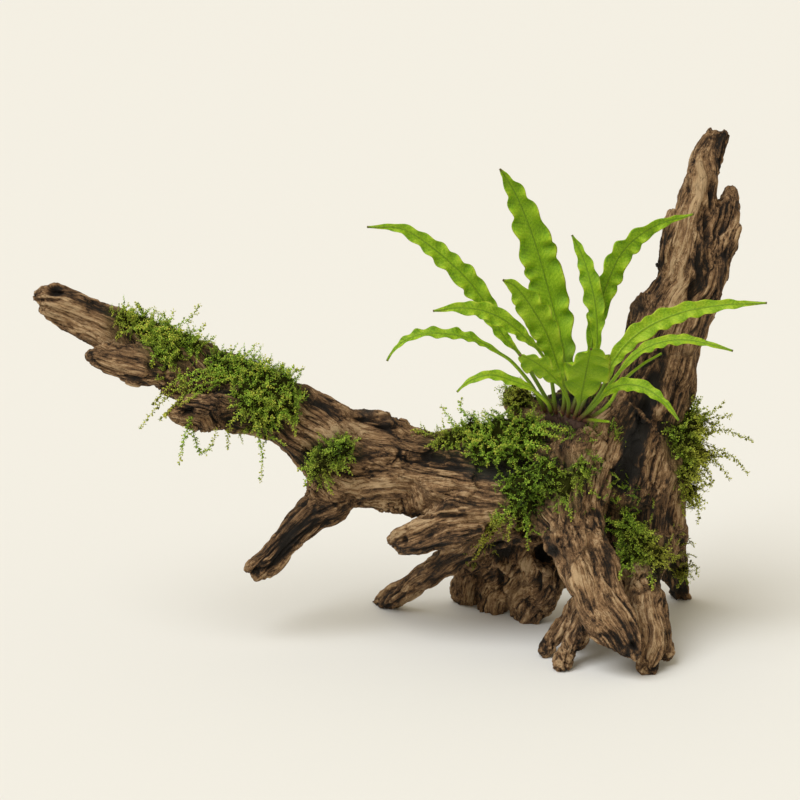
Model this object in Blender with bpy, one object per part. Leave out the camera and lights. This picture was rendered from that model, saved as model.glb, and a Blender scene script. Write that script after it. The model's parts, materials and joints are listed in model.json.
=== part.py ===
"""Java fern and moss growing on a branching piece of driftwood, in metres with +Z up.

The driftwood is one natural piece, parted at its main forks. It stands on the tips of its roots, which are worn
flat where they touch the ground, and the origin is under the middle of the whole piece, at ground level.
"""

import math
import random

import bmesh
import bpy
from mathutils import Vector, noise

MM = 0.001

# How the places below are written
# A place is millimetres across from the middle, up from the front feet and back from the middle, as they look from
# the front and a little above. The look shortens heights and lifts what is further back, which place() undoes.
LOOK_DOWN = math.radians(15.0)
LOOK_FROM = 1500.0
FRONT_FEET_BACK = -55.0
LOOK_CENTRE_UP = 136.0
ORIGIN_ACROSS = -0.8
ORIGIN_BACK = 3.9

# Driftwood: strands of (across, up, back, radius), fused within a node
CROWN = {
    "heart": [(22, 97, 8, 20), (50, 95, 8, 22), (75, 95, 8, 25), (100, 98, 9, 26), (120, 96, 10, 21)],
    "front_shoulder": [(118, 126, 4, 19), (101, 109, -6, 17), (88, 91, -12, 16), (82, 78, -15, 13)],
    "right_mass": [(126, 113, 8, 14), (126, 91, 8, 15.5), (127, 71, 8, 13.5), (125, 58, 6, 10)],
    "back": [(46, 78, 24, 18), (75, 77, 28, 21), (100, 78, 27, 20), (122, 76, 24, 15)],
    "root_web": [(38, 64, 34, 9), (60, 57, 33, 12), (84, 56, 24, 13), (104, 56, 12, 11)],
    "mossy_stub": [(72, 116, 18, 14), (61, 132, 23, 9), (57, 138, 25, 6)],
    "fern_seat": [(66, 115, 6, 10), (77, 114.5, 1, 10.5), (87, 112, -7, 10.5), (97, 110, -14, 11)],
    "saddle": [(70, 129, 20, 8), (82, 131, 20, 8.5), (94, 133, 18, 8.5), (106, 138, 15, 8)],
}
ARM = {
    "beam": [
        (36, 97, 8, 19), (15, 98, 8, 20.5), (-3, 101.5, 7, 21), (-20, 106, 6, 21.5), (-35, 114, 5, 19.5),
        (-50, 124, 5, 17), (-65, 132.5, 4, 15.5), (-82, 140, 3, 14.5), (-100, 149, 2, 13.5), (-114, 157, 1, 12.5),
    ],
    "top_ridge": [(-24, 127, 5, 3), (-12, 124.5, 6, 4), (5, 119.5, 7, 4), (26, 117, 9, 3.5)],
    "under_ridge": [(-28, 89, 2, 4), (-10, 85, 3, 4.5), (8, 83, 4, 5), (26, 80, 4, 5)],
}
ARM_UPPER_PRONG = {
    "upper_half": [
        (-112, 157, 1, 10), (-135, 170, 0, 8.5), (-150, 177.5, -1, 7.6), (-165, 184.5, -3, 7), (-176, 187.5, -4, 5.6),
        (-180, 187.5, -4, 3.4),
    ],
    "lower_half": [
        (-115, 152, -1, 8), (-140, 165, -2, 7.6), (-155, 171.5, -3, 6.2), (-170, 178, -4, 4.8), (-177, 181, -5, 3.4),
    ],
}
ARM_LOWER_PRONG = {
    "prong": [
        (-100, 145, -3, 9), (-120, 151, -9, 9.6), (-132, 153.5, -12, 9), (-143, 156, -12, 7.6),
        (-149.5, 157.2, -13.5, 5.8), (-152.5, 158, -14, 4),
    ],
}
ARM_KNOB = {
    "knob": [
        (-76, 136, -2, 11), (-91, 132.5, -11, 11.2), (-102, 131, -17, 9.6), (-109, 130, -20, 7), (-113, 130, -21, 4),
    ],
}
ARM_LEG = {
    "shin": [
        (-30, 99, 4, 14), (-35, 88, 2, 12), (-45, 78, 0, 8.8), (-55, 68.5, -3, 7), (-62.5, 60, -5, 7), (-68, 54, -7, 6.2),
    ],
    "left_toe": [(-64, 58, -7, 5), (-73, 53.5, -9, 3.9), (-75, 52, -9, 3)],
    "right_toe": [(-63, 56, -4, 5), (-68, 50.5, -6, 4.4), (-71, 48.5, -8, 3)],
}
UPRIGHT = {
    "trunk": [
        (112, 104, 9, 20), (119, 122, 12, 22), (125, 141, 13, 22), (130.5, 161, 13, 19.8), (136.5, 178.5, 13, 18),
        (142, 196, 14, 16), (145, 213.5, 15, 13.8), (148, 233.5, 17, 10.5), (151, 251, 19, 8), (153.5, 261, 20, 6.6),
    ],
    "left_top": [(153, 255, 20, 6.5), (155, 266, 20, 4.8), (156, 270, 20, 3)],
    "right_top": [(154, 252, 18, 6), (159, 263, 19, 4.8), (162, 268.5, 19, 3.4)],
    "long_splinter": [(153, 198, 17, 11), (159, 217, 18, 9), (163.5, 231, 19, 6.2), (166, 240, 20, 3.4)],
    "short_splinter": [
        (140, 165, 9, 9), (150, 186, 10, 9.5), (157, 202, 11, 7.8), (163.5, 214.5, 12, 5.4), (168, 222, 13, 3),
    ],
    "upper_ledge": [(130, 200, 13, 5.5), (133.2, 218, 14, 4), (136.2, 229.5, 15, 2)],
    "lower_ledge": [(115, 166, 9, 7), (119, 181, 10, 5), (121.5, 189, 10, 3)],
    "knuckle": [(141, 141, 12, 7), (146, 148.5, 12, 3.6)],
}
ROOT_FRONT = {
    "root": [
        (83, 84, -12, 13), (86, 68.5, -24, 14.4), (94, 53.5, -33, 13.6), (99.5, 37, -43, 12.8), (106, 23.5, -52, 11.4),
        (113, 14.5, -59, 8.4), (117, 10, -62, 5.4),
    ],
}
ROOT_FRONT_RIGHT = {
    "root": [(121, 65, -1, 12), (121.5, 47, -14, 10), (122.5, 34, -26, 9)],
    "lower_toe": [(121, 40, -20, 8), (123.5, 19, -40, 7.4), (124, 8, -49, 6.2), (124, 2.5, -51.5, 5.2)],
    "upper_toe": [(125, 38, -20, 7.5), (130, 18, -34, 5.8), (133, 9.4, -40, 4.4)],
}
ROOT_FRONT_LEFT = {
    "root": [(101, 52, -2, 9.5), (94, 34, -17, 8.5)],
    "lower_toe": [(96, 38, -14, 8), (89, 20, -33, 6.8), (83, 8.5, -44, 5.6), (81, 4, -47, 5)],
    "upper_toe": [(93, 40, -11, 6.5), (81, 22.5, -20, 5.2), (74.5, 13.5, -25, 4.4), (72.5, 11, -27, 3.8)],
}
ROOT_REAR_MIDDLE = {
    "root": [(76, 60, 21, 12), (70, 48.5, 26, 11.5), (65.5, 36, 30, 8.8), (63, 28, 33, 6.2)],
    "knot": [(74, 50, 16, 7), (71, 42, 18, 5.5)],
}
ROOT_REAR_LEFT = {
    "root": [(56, 62, 30, 11), (50, 48.5, 39, 9), (47.5, 37, 45, 7), (46.5, 31.6, 47, 5.6)],
}
ROOT_FAR_LEFT = {
    "root": [(40, 65, 36, 9), (35.5, 52, 49, 7), (34, 42, 56, 6), (33.5, 37.5, 58, 5)],
}
ROOT_LEFT_UPPER = {
    "upper_half": [
        (52, 88, -8, 12), (35, 82.5, -12, 9.6), (20, 75, -11, 7.6), (8, 69, -8, 6.2), (0, 66, -5, 5.2),
        (-2.5, 65.5, -4, 3.8),
    ],
    "lower_half": [(40, 76, -12, 8), (22, 68.5, -12, 6.2), (9, 65, -10, 5.4), (2, 62.8, -8, 4.2)],
}
ROOT_LEFT_LOWER = {
    "root": [
        (54, 80, 0, 12), (40, 68.5, 5, 9.6), (25, 57, 16, 8), (12.5, 47.5, 28, 7), (0, 39, 41, 6), (-8, 34, 52, 5),
        (-11, 33, 56, 4.5),
    ],
}
ROOT_REAR_RIGHT = {
    "root": [(126, 82, 14, 12), (134, 63.5, 32, 9), (138, 48.5, 52, 6.8), (140, 38.5, 66, 5.3), (140.5, 36.5, 70, 4.6)],
}

# Each driftwood node: its strands, how thin it is from front to back, its triangles, and the nodes it grows out of
WOOD = {
    "wood_crown": (CROWN, 1.0, 1100, ()),
    "wood_arm": (ARM, 0.86, 660, ("wood_crown",)),
    "wood_arm_upper_prong": (ARM_UPPER_PRONG, 0.9, 210, ("wood_arm",)),
    "wood_arm_lower_prong": (ARM_LOWER_PRONG, 0.9, 120, ("wood_arm", "wood_arm_upper_prong")),
    "wood_arm_knob": (ARM_KNOB, 0.95, 110, ("wood_arm", "wood_arm_lower_prong")),
    "wood_arm_leg": (ARM_LEG, 0.95, 220, ("wood_arm",)),
    "wood_upright": (UPRIGHT, 0.85, 760, ("wood_crown",)),
    "root_front": (ROOT_FRONT, 0.62, 250, ("wood_crown",)),
    "root_front_right": (ROOT_FRONT_RIGHT, 0.9, 210, ("wood_crown", "root_front")),
    "root_front_left": (ROOT_FRONT_LEFT, 0.9, 190, ("wood_crown", "root_front", "root_front_right")),
    "root_rear_middle": (ROOT_REAR_MIDDLE, 1.0, 140, ("wood_crown", "root_front_left", "root_front")),
    "root_rear_left": (ROOT_REAR_LEFT, 1.0, 110, ("wood_crown", "root_rear_middle")),
    "root_far_left": (ROOT_FAR_LEFT, 1.0, 100, ("wood_crown", "root_rear_left")),
    "root_left_upper": (ROOT_LEFT_UPPER, 0.95, 180, ("wood_crown", "wood_arm")),
    "root_left_lower": (ROOT_LEFT_LOWER, 0.95, 170, ("wood_crown", "root_left_upper", "wood_arm", "root_far_left")),
    "root_rear_right": (ROOT_REAR_RIGHT, 1.0, 120, ("wood_crown", "root_front_right")),
}
WOOD_SIDES = 28
RING_STEP = 3.5
LOBES = ((2, 0.06), (3, 0.06), (5, 0.045))
LOBE_TWIST = 0.012
KNOT_HEIGHT = 0.16
KNOT_SPACING = 11.0
FISSURES = 7
FISSURE_HALF_WIDTH = (0.16, 0.3)
FISSURE_DEPTH = (0.12, 0.3)
DEEPEST_CRACK = 0.32
CRACK_WANDERING = 0.5
CRACK_BENDS = 5.0
COLLAR_SWELLING = (1.35, 1.2, 1.02)
WOOD_VOXEL = 1.5
SMOOTH_STEPS = 2
WOOD_GAP = 0.9
GAP = 0.35
MOSS_GAP = 1.6
SPARE_BEFORE_CUTS = 2.0
GROUND_BLOCK = (500.0, 400.0, 60.0)

# Rhizome: the creeping stem that the fronds stand on
RHIZOME = [(74, 128, 4, 2.6), (78.5, 127, -2, 3.2), (83.5, 125.8, -9, 3.3), (88.5, 124.5, -16, 3.1), (92, 123.5, -21, 2.4)]
RHIZOME_SIDES = 8
PETIOLE_RADIUS = 0.75
BASE_CLEARANCE = 0.7
ROW_LEAN = math.radians(38.0)

# Fronds: where each leaves the rhizome, its row (-1 is the front one), its midrib beyond that, the blade's width, how
# far it is turned about its midrib from facing the front, the share of its length that is bare stalk, and stations
FRONDS = {
    "frond_left_low": (0.03, -1, [(66, 143, -7), (56, 155, -9), (50, 159, -9), (40, 165, -10), (27, 168.5, -12),
                                  (12, 169, -14), (0, 164, -16), (-6.5, 155.5, -18)], 10, 58, 0.34, 16),
    "frond_left_long": (0.08, 1, [(66, 149, 3), (59, 160, 3), (51, 169, 2), (42, 185, 0), (32.5, 197.5, -2),
                                  (17, 211.5, -4), (1, 221.5, -6), (-16.5, 222.5, -8)], 15, 12, 0.24, 24),
    "frond_left_bottom": (0.20, -1, [(74, 134, -15), (69, 139, -18), (64, 142.5, -20), (55, 146, -22), (45, 148.5, -24),
                                     (35, 145.5, -26), (28.5, 140, -27)], 7.5, 35, 0.30, 14),
    "frond_left_middle": (0.33, -1, [(75, 150, -14), (70, 160, -18), (63, 167, -22), (52, 176, -26), (40, 181, -30),
                                     (28, 182, -33), (16.5, 180.5, -35)], 12, 22, 0.30, 18),
    "frond_tall": (0.30, 1, [(83, 139, 4), (81.5, 161, 8), (75.5, 186, 11), (67, 216, 10), (58, 238.5, 5),
                             (50, 251.5, -1)], 25, 4, 0.17, 28),
    "frond_second": (0.48, -1, [(82, 139, -11), (78, 156, -13), (72.5, 171, -17), (65, 183.5, -21), (58, 192.5, -25),
                                (51.5, 196, -29)], 20, -8, 0.20, 20),
    "frond_right_up": (0.50, 1, [(92, 148, 2), (95.5, 161, 6), (97.5, 176, 8), (103.5, 194, 6), (110, 208.5, 2),
                                 (120, 218.5, -2), (132, 225, -6), (147, 229, -9)], 16, 8, 0.16, 22),
    "frond_front_left": (0.62, -1, [(84, 136, -20), (79, 145, -28), (72, 152, -38), (64, 157, -48), (60, 158.5, -54)],
                         15, -28, 0.34, 12),
    "frond_centre": (0.66, 1, [(97, 148, -4), (98.5, 166, -3), (98, 181, -1), (95, 196, 2), (91, 208.5, 5),
                               (86, 218.5, 7)], 13.5, -6, 0.24, 20),
    "frond_front_right": (0.78, -1, [(89.5, 134, -22), (91.5, 143, -28), (93.5, 152.5, -35), (95, 159.5, -45),
                                     (95.5, 161.5, -54)], 25, 8, 0.22, 12),
    "frond_right_long": (0.80, 1, [(101, 141, -19), (107, 156, -20), (120, 170, -21), (140, 179.5, -23),
                                   (162, 183.5, -25), (183.5, 184.5, -27)], 13.5, -18, 0.17, 24),
    "frond_right_middle": (0.91, 1, [(101.5, 139, -20), (109, 149, -24), (117, 158, -25), (128, 164, -27),
                                     (141, 166, -29), (154, 164, -31), (166.5, 160.5, -33)], 8.5, -42, 0.26, 16),
    "frond_right_droop": (0.90, -1, [(99, 135, -27), (103, 139.5, -32), (109, 143, -36), (117, 143.5, -40),
                                     (125, 140.5, -44), (133, 134, -48), (139.5, 125.5, -51)], 9.5, -30, 0.18, 16),
    "frond_young": (1.0, 1.2, [(104, 133.5, -24), (111, 145, -21), (120, 153, -18), (131, 159.5, -17)], 3.2, 20, 0.30, 10),
    "frond_sprout": (1.0, 0, [(99, 126, -27), (105, 125, -31)], 3.4, 40, 0.2, 6),
}
WIDEST_FROM = 0.7
SWELLING_POWER = 0.8
NARROWS_FROM = 0.35
NARROWING_POWER = 1.6
BLADE_THICKNESS = 0.7
MIDRIB_THICKNESS = 1.3
STALK_THINNING = 0.45
MIDRIB_THINNING = 0.5
STALK_SIDE_THICKNESS = 0.6
CUP = math.radians(14.0)
RUFFLE_HEIGHT = 0.15
RUFFLE_WIDTH = 0.09
RUFFLE_SHIFT = 1.4
STATIONS_PER_RUFFLE = 3.0

# Moss: balls of (across, up, back, radius) fused to one clump, the long shoots that stand out of it, and triangles
MOSS = {
    "moss_arm_end": (
        [(-139, 176, -5, 5), (-133, 174, -4, 6), (-124, 174, -2, 9), (-113, 172, -2, 10), (-104, 168, -2, 8), (-120, 162, -11, 7),
         (-113, 160, -13, 6)],
        [(-100.5, 184, 0), (-113, 181, 2), (-97, 174, -2), (-124, 152, -16), (-142, 166, -10)], 170),
    "moss_arm_middle": (
        [(-88, 154, -6, 8), (-73, 150, -6, 12), (-60, 145, -6, 12.5), (-74, 138, -13, 10), (-57, 136, -12, 10),
         (-66, 127, -13, 7), (-104, 141, -14, 4.5), (-114, 135.5, -15, 4)],
        [(-130, 122, -16), (-69.5, 95, -12), (-110.5, 104, -20), (-98, 111, -18), (-86, 112, -15), (-51, 151, 0)], 250),
    "moss_fork": (
        [(-38, 105, -16, 8.5), (-29, 111, -16, 7.5), (-44, 99.5, -13, 5)],
        [(-48, 93, -12), (-51, 101, -9), (-24, 99, -20)], 100),
    "moss_crown_left": (
        [(24, 116, 2, 6), (37, 121, 3, 9), (50, 121, 0, 11), (63, 122, -3, 10), (55, 110, -12, 8.5), (42, 112, -9, 7.5),
         (55, 136, 12, 6.5), (63, 139, 14, 6), (58, 143, 22, 5)],
        [(20.5, 133, 4), (43.5, 103, -16), (6, 121, 5), (73, 120, -16)], 230),
    "moss_crown_front": (
        [(60, 95, -19, 8), (72, 98, -20, 9), (61, 85, -19, 8), (82, 93, -24, 6.5), (48, 82, -17, 4.5), (91, 101, -25, 5.5),
         (99, 93, -26, 5), (43, 72, -9, 3)],
        [(64, 61, -22), (37, 56, -5), (86, 76, -34)], 190),
    "moss_front_right": (
        [(100, 84, -27, 6.5), (112, 72, -16, 7.5), (120, 64, -15, 8.5), (127, 57, -14, 7), (113, 59, -19, 5.5)],
        [(110, 46, -22), (126, 41, -20), (138, 56, -6), (95, 90, -28)], 170),
    "moss_right_side": (
        [(141, 117, 4, 10), (149, 123, 7, 8), (141, 101, 5, 9), (151, 108, 8, 8), (144, 91, 8, 5.5)],
        [(176.5, 115.5, 4), (174, 99, 4), (162.5, 135, 6), (146, 138, 6), (149, 74, 6), (156, 93, 8)], 210),
    "moss_right_rear": (
        [(141, 71, 26, 5), (142, 61, 32, 4.6), (141, 52, 38, 4)],
        [(147, 63, 20), (149, 48, 26), (139, 42, 34)], 90),
}
MOSS_VOXEL = 1.0
MOSS_LUMP = 1.6
MOSS_LUMP_SPACING = 5.5
MOSS_LUMP_SHIFT = 90.0
SHOOT_SIDES = 5
SHOOT_ROOT_RADIUS = 1.8
SHOOT_TIP_RADIUS = 0.8

WOOD_COLOUR = (0.200, 0.118, 0.062)
STALK_COLOUR = (0.130, 0.055, 0.030)
FROND_COLOUR = (0.190, 0.400, 0.035)
MOSS_COLOUR = (0.085, 0.160, 0.022)


def place(across, up, back):
    """The point, in metres, that looks to be there from the front and a little above."""
    from_centre = up - LOOK_CENTRE_UP
    height_of_centre = (LOOK_CENTRE_UP + FRONT_FEET_BACK * math.sin(LOOK_DOWN)) / math.cos(LOOK_DOWN)
    rise = from_centre * (LOOK_FROM + back * math.cos(LOOK_DOWN)) - LOOK_FROM * back * math.sin(LOOK_DOWN)
    rise /= LOOK_FROM * math.cos(LOOK_DOWN) + from_centre * math.sin(LOOK_DOWN)
    further = back * math.cos(LOOK_DOWN) - rise * math.sin(LOOK_DOWN)
    x = across * (1 + further / LOOK_FROM)
    return Vector((x - ORIGIN_ACROSS, back - ORIGIN_BACK, height_of_centre + rise)) * MM


def clear_scene():
    for obj in list(bpy.data.objects):
        bpy.data.objects.remove(obj)


def material(name, colour, roughness):
    made = bpy.data.materials.new(name)
    made.use_nodes = True
    shader = made.node_tree.nodes["Principled BSDF"]
    shader.inputs["Base Color"].default_value = (*colour, 1.0)
    shader.inputs["Roughness"].default_value = roughness
    shader.inputs["Metallic"].default_value = 0.0
    return made


def add_object(name, mesh, finish=None):
    obj = bpy.data.objects.new(name, mesh)
    bpy.context.scene.collection.objects.link(obj)
    if finish:
        obj.data.materials.clear()
        obj.data.materials.append(finish)
    return obj


def mesh_of(shape):
    """The bmesh as a mesh, with every face pointing out."""
    bmesh.ops.recalc_face_normals(shape, faces=shape.faces)
    mesh = bpy.data.meshes.new("shape")
    shape.to_mesh(mesh)
    shape.free()
    return mesh


def with_modifiers(mesh, *settings):
    """The mesh after these modifiers, each given as its type and a dictionary of its settings."""
    obj = add_object("working", mesh)
    for kind, values in settings:
        modifier = obj.modifiers.new(kind.lower(), kind)
        for key, value in values.items():
            setattr(modifier, key, value)
    bpy.context.view_layer.update()
    graph = bpy.context.evaluated_depsgraph_get()
    result = bpy.data.meshes.new_from_object(obj.evaluated_get(graph))
    bpy.data.objects.remove(obj)
    return result


def spline(points, share):
    """A value on the Catmull-Rom curve through the points, at this share of their number. Each may be any tuple."""
    last = len(points) - 1
    where = min(max(share, 0.0), 1.0) * last
    i = min(int(where), last - 1)
    t = where - i
    before, start, end, after = (points[min(max(k, 0), last)] for k in (i - 1, i, i + 1, i + 2))
    return tuple(
        0.5 * (2 * b + (c - a) * t + (2 * a - 5 * b + 4 * c - d) * t**2 + (3 * b - a - 3 * c + d) * t**3)
        for a, b, c, d in zip(before, start, end, after)
    )


def route_of(points, step):
    """Points and radii, in metres, about every step millimetres along the curve through (across, up, back, radius)."""
    knots = [(*place(*point[:3]), point[3] * MM) for point in points]
    length = sum((Vector(a[:3]) - Vector(b[:3])).length for a, b in zip(knots, knots[1:]))
    count = max(3, round(length / (step * MM)))
    return [spline(knots, i / count) for i in range(count + 1)]


def section_axes(tangent):
    """Two directions square to a strand: across it as seen from the front, and through it."""
    sideways = tangent.cross(Vector((0, 1, 0)))
    if sideways.length < 1e-3:
        sideways = Vector((1, 0, 0))
    sideways.normalize()
    return sideways, tangent.cross(sideways).normalized()


def tangent_at(route, i):
    ahead = Vector(route[min(i + 1, len(route) - 1)][:3])
    behind = Vector(route[max(i - 1, 0)][:3])
    return (ahead - behind).normalized()


def fissures(rng):
    """Long cracks down a strand, each as its angle, the middle and half its length as shares, half width and depth."""
    return [
        (
            rng.uniform(0, math.tau),
            rng.uniform(0.1, 0.9),
            rng.uniform(0.15, 0.4),
            rng.uniform(*FISSURE_HALF_WIDTH),
            rng.uniform(*FISSURE_DEPTH),
        )
        for _ in range(FISSURES)
    ]


def crack_depth(cracks, angle, share):
    """How deep the cracks cut at this angle and this share of the strand's length, as a share of its radius."""
    depth = 0.0
    for middle_angle, middle, half_length, half_width, full_depth in cracks:
        wandering = middle_angle + CRACK_WANDERING * math.sin(CRACK_BENDS * share + middle_angle)
        aside = (angle - wandering + math.pi) % math.tau - math.pi
        fading = max(0.0, 1 - ((share - middle) / half_length) ** 2)
        depth += full_depth * fading * math.exp(-((aside / half_width) ** 2))
    return min(depth, DEEPEST_CRACK)


def close_tube(shape, rings):
    """Joins each ring of corners to the next, and closes both ends."""
    for lower, upper in zip(rings, rings[1:]):
        for side in range(len(lower)):
            after = (side + 1) % len(lower)
            shape.faces.new((lower[side], lower[after], upper[after], upper[side]))
    shape.faces.new(rings[0])
    shape.faces.new(list(reversed(rings[-1])))


def add_strand(shape, points, depth_ratio, rng):
    """Adds one knotty strand of wood: a cracked tube with twisting lobes, swellings and a rounded end."""
    route = route_of(points, RING_STEP)
    end_radius = route[-1][3]
    end = Vector(route[-1][:3])
    outward = tangent_at(route, len(route) - 1)
    route = route + [
        (*(end + outward * end_radius * ahead), end_radius * narrowing)
        for ahead, narrowing in ((0.5, 0.84), (0.8, 0.5))
    ]
    phases = [rng.uniform(0, math.tau) for _ in LOBES]
    twist = rng.uniform(-LOBE_TWIST, LOBE_TWIST)
    cracks = fissures(rng)
    rings = []
    for i, (x, y, z, radius) in enumerate(route):
        sideways, through = section_axes(tangent_at(route, i))
        ring = []
        for side in range(WOOD_SIDES):
            angle = math.tau * side / WOOD_SIDES
            lobe = sum(
                size * math.cos(number * (angle + twist * i * RING_STEP) + phase)
                for (number, size), phase in zip(LOBES, phases)
            )
            direction = sideways * math.cos(angle) + through * math.sin(angle) * depth_ratio
            knot = KNOT_HEIGHT * noise.noise((Vector((x, y, z)) + direction * radius) / (KNOT_SPACING * MM))
            crack = crack_depth(cracks, angle, i / len(route))
            ring.append(shape.verts.new(Vector((x, y, z)) + direction * radius * (1 + lobe + knot - crack)))
        rings.append(ring)
    close_tube(shape, rings)


def collar(strands):
    """The swelling where a limb leaves its parent: its first stretch, thicker at the root of it."""
    start, after = next(iter(strands.values()))[:2]
    between = [(a + b) / 2 for a, b in zip(start, after)]
    return [
        (*point[:3], point[3] * swelling)
        for point, swelling in zip((start, between, after), COLLAR_SWELLING)
    ]


def thinned(mesh, triangles):
    """The mesh brought down to about this many triangles."""
    triangulated = with_modifiers(mesh, ("TRIANGULATE", {}))
    ratio = min(1.0, triangles / len(triangulated.polygons))
    return with_modifiers(triangulated, ("DECIMATE", {"ratio": ratio}))


def fused(mesh, voxel, smoothing, triangles):
    """Overlapping shapes made one closed surface, softened, with about this many triangles."""
    skin = with_modifiers(
        mesh,
        ("REMESH", {"mode": "VOXEL", "voxel_size": voxel * MM}),
        ("SMOOTH", {"factor": 0.5, "iterations": smoothing}),
    )
    return thinned(skin, triangles)


def swollen(mesh, gap):
    """A copy whose surface stands this many millimetres out."""
    copy = mesh.copy()
    for vertex in mesh.vertices:
        copy.vertices[vertex.index].co = vertex.co + vertex.normal * gap * MM
    return copy


def largest_body(mesh):
    """The mesh without the small loose bodies that a cut can leave."""
    shape = bmesh.new()
    shape.from_mesh(mesh)
    unseen = set(shape.verts)
    bodies = []
    while unseen:
        edge_of_body = [unseen.pop()]
        body = set(edge_of_body)
        while edge_of_body:
            vertex = edge_of_body.pop()
            for edge in vertex.link_edges:
                other = edge.other_vert(vertex)
                if other in unseen:
                    unseen.discard(other)
                    body.add(other)
                    edge_of_body.append(other)
        bodies.append(body)
    bodies.sort(key=len)
    for body in bodies[:-1]:
        bmesh.ops.delete(shape, geom=list(body), context="VERTS")
    return mesh_of(shape)


def without(mesh, others, gap):
    """The mesh with the space of the others, and a gap round them, taken away."""
    for other in others:
        cutter = add_object("cutter", swollen(other, gap))
        cut = {"operation": "DIFFERENCE", "solver": "EXACT", "use_self": True, "object": cutter}
        mesh = with_modifiers(mesh, ("BOOLEAN", cut))
        bpy.data.objects.remove(cutter)
    return largest_body(mesh)


def ground_block():
    """What lies under the ground, as a mesh, to wear the feet flat with."""
    shape = bmesh.new()
    bmesh.ops.create_cube(shape, size=1.0)
    width, depth, height = (side * MM for side in GROUND_BLOCK)
    for vertex in shape.verts:
        x, y, z = vertex.co
        vertex.co = (x * width, y * depth, (z - 0.5) * height)
    return mesh_of(shape)


def make_wood(finish):
    """Every piece of the driftwood, each cut back to the surface of the one that it grows out of."""
    meshes = {}
    ground = ground_block()
    for number, (name, (strands, depth_ratio, triangles, parents)) in enumerate(WOOD.items()):
        rng = random.Random(number)
        shape = bmesh.new()
        for points in strands.values():
            add_strand(shape, points, depth_ratio, rng)
        for other_strands, other_ratio, _, other_parents in WOOD.values():
            if name in other_parents[:1]:
                add_strand(shape, collar(other_strands), other_ratio, rng)
        mesh = fused(mesh_of(shape), WOOD_VOXEL, SMOOTH_STEPS, triangles * SPARE_BEFORE_CUTS)
        mesh = without(mesh, [meshes[parent] for parent in parents], WOOD_GAP)
        mesh = thinned(mesh, triangles)
        if min(vertex.co.z for vertex in mesh.vertices) < 0:
            mesh = without(mesh, [ground], 0.0)
        meshes[name] = mesh
        add_object(name, mesh, finish)
    return meshes


def make_rhizome(wood, finish):
    shape = bmesh.new()
    route = route_of(RHIZOME, 2.5)
    rings = []
    for i, (x, y, z, radius) in enumerate(route):
        sideways, through = section_axes(tangent_at(route, i))
        rings.append([
            shape.verts.new(
                Vector((x, y, z))
                + sideways * math.cos(math.tau * side / RHIZOME_SIDES) * radius
                + through * math.sin(math.tau * side / RHIZOME_SIDES) * radius
            )
            for side in range(RHIZOME_SIDES)
        ])
    close_tube(shape, rings)
    mesh = without(mesh_of(shape), [wood["wood_crown"]], GAP)
    add_object("rhizome", mesh, finish)
    return mesh


def frond_base(share, row):
    """Where a frond's stalk leaves the rhizome, on its front or back row."""
    knots = [(*place(*point[:3]), point[3] * MM) for point in RHIZOME]
    x, y, z, radius = spline(knots, share)
    ahead = Vector(spline(knots, min(share + 0.05, 1.0))[:3]) - Vector(spline(knots, max(share - 0.05, 0.0))[:3])
    backward = Vector((0, 0, 1)).cross(ahead).normalized()
    upward = ahead.cross(backward).normalized()
    if upward.z < 0:
        upward.negate()
    if backward.y < 0:
        backward.negate()
    lean = upward * math.cos(ROW_LEAN) + backward * row * math.sin(ROW_LEAN)
    return Vector((x, y, z)) + lean * (radius + BASE_CLEARANCE * MM)


def blade_half_width(share, stalk, width):
    """Half the blade's width, in millimetres, at this share of the frond's length."""
    if share <= stalk:
        return 0.0
    along = (share - stalk) / (1 - stalk)
    swell = math.sin(math.pi * min(along / WIDEST_FROM, 1.0) / 2) ** SWELLING_POWER
    past = max(0.0, along - NARROWS_FROM) / (1 - NARROWS_FROM)
    return width / 2 * swell * max(0.0, 1 - past**NARROWING_POWER)


def blade_section(share, station, width, stalk):
    """A frond's section: six (across, out of the face) corners in millimetres, from the left edge round to it again."""
    half = blade_half_width(share, stalk, width)
    stalk_half = PETIOLE_RADIUS * (1 - STALK_THINNING * share)
    rib = max(MIDRIB_THICKNESS, 2 * stalk_half) / 2 * (1 - MIDRIB_THINNING * share)
    edge = BLADE_THICKNESS / 2 if half > stalk_half else rib * STALK_SIDE_THICKNESS
    wave = math.tau * station / STATIONS_PER_RUFFLE
    left, right = (
        (
            max(stalk_half, half * (1 + RUFFLE_WIDTH * math.cos(wave + shift))),
            half * (math.sin(CUP) + RUFFLE_HEIGHT * math.sin(wave + shift)),
        )
        for shift in (0.0, RUFFLE_SHIFT)
    )
    return [
        (-left[0], left[1] + edge), (0.0, rib), (right[0], right[1] + edge),
        (right[0], right[1] - edge), (0.0, -rib), (-left[0], left[1] - edge),
    ]


def make_frond(name, finish):
    """One frond: a stalk that widens to a ruffled, slightly cupped blade along its midrib."""
    share_on_rhizome, row, points, width, turn, stalk, stations = FRONDS[name]
    knots = [tuple(frond_base(share_on_rhizome, row))] + [tuple(place(*point)) for point in points]
    shape = bmesh.new()
    rings = []
    for station in range(stations + 1):
        share = station / stations
        here = Vector(spline(knots, share))
        tangent = Vector(spline(knots, min(share + 0.02, 1.0))) - Vector(spline(knots, max(share - 0.02, 0.0)))
        sideways, through = section_axes(tangent.normalized())
        outward = sideways * math.cos(math.radians(turn)) + through * math.sin(math.radians(turn))
        face = tangent.cross(outward).normalized()
        if face.y > 0:
            face.negate()
        rings.append([
            shape.verts.new(here + (outward * across + face * out) * MM)
            for across, out in blade_section(share, station, width, stalk)
        ])
    close_tube(shape, rings)
    bmesh.ops.triangulate(shape, faces=shape.faces)
    return add_object(name, mesh_of(shape), finish)


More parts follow.
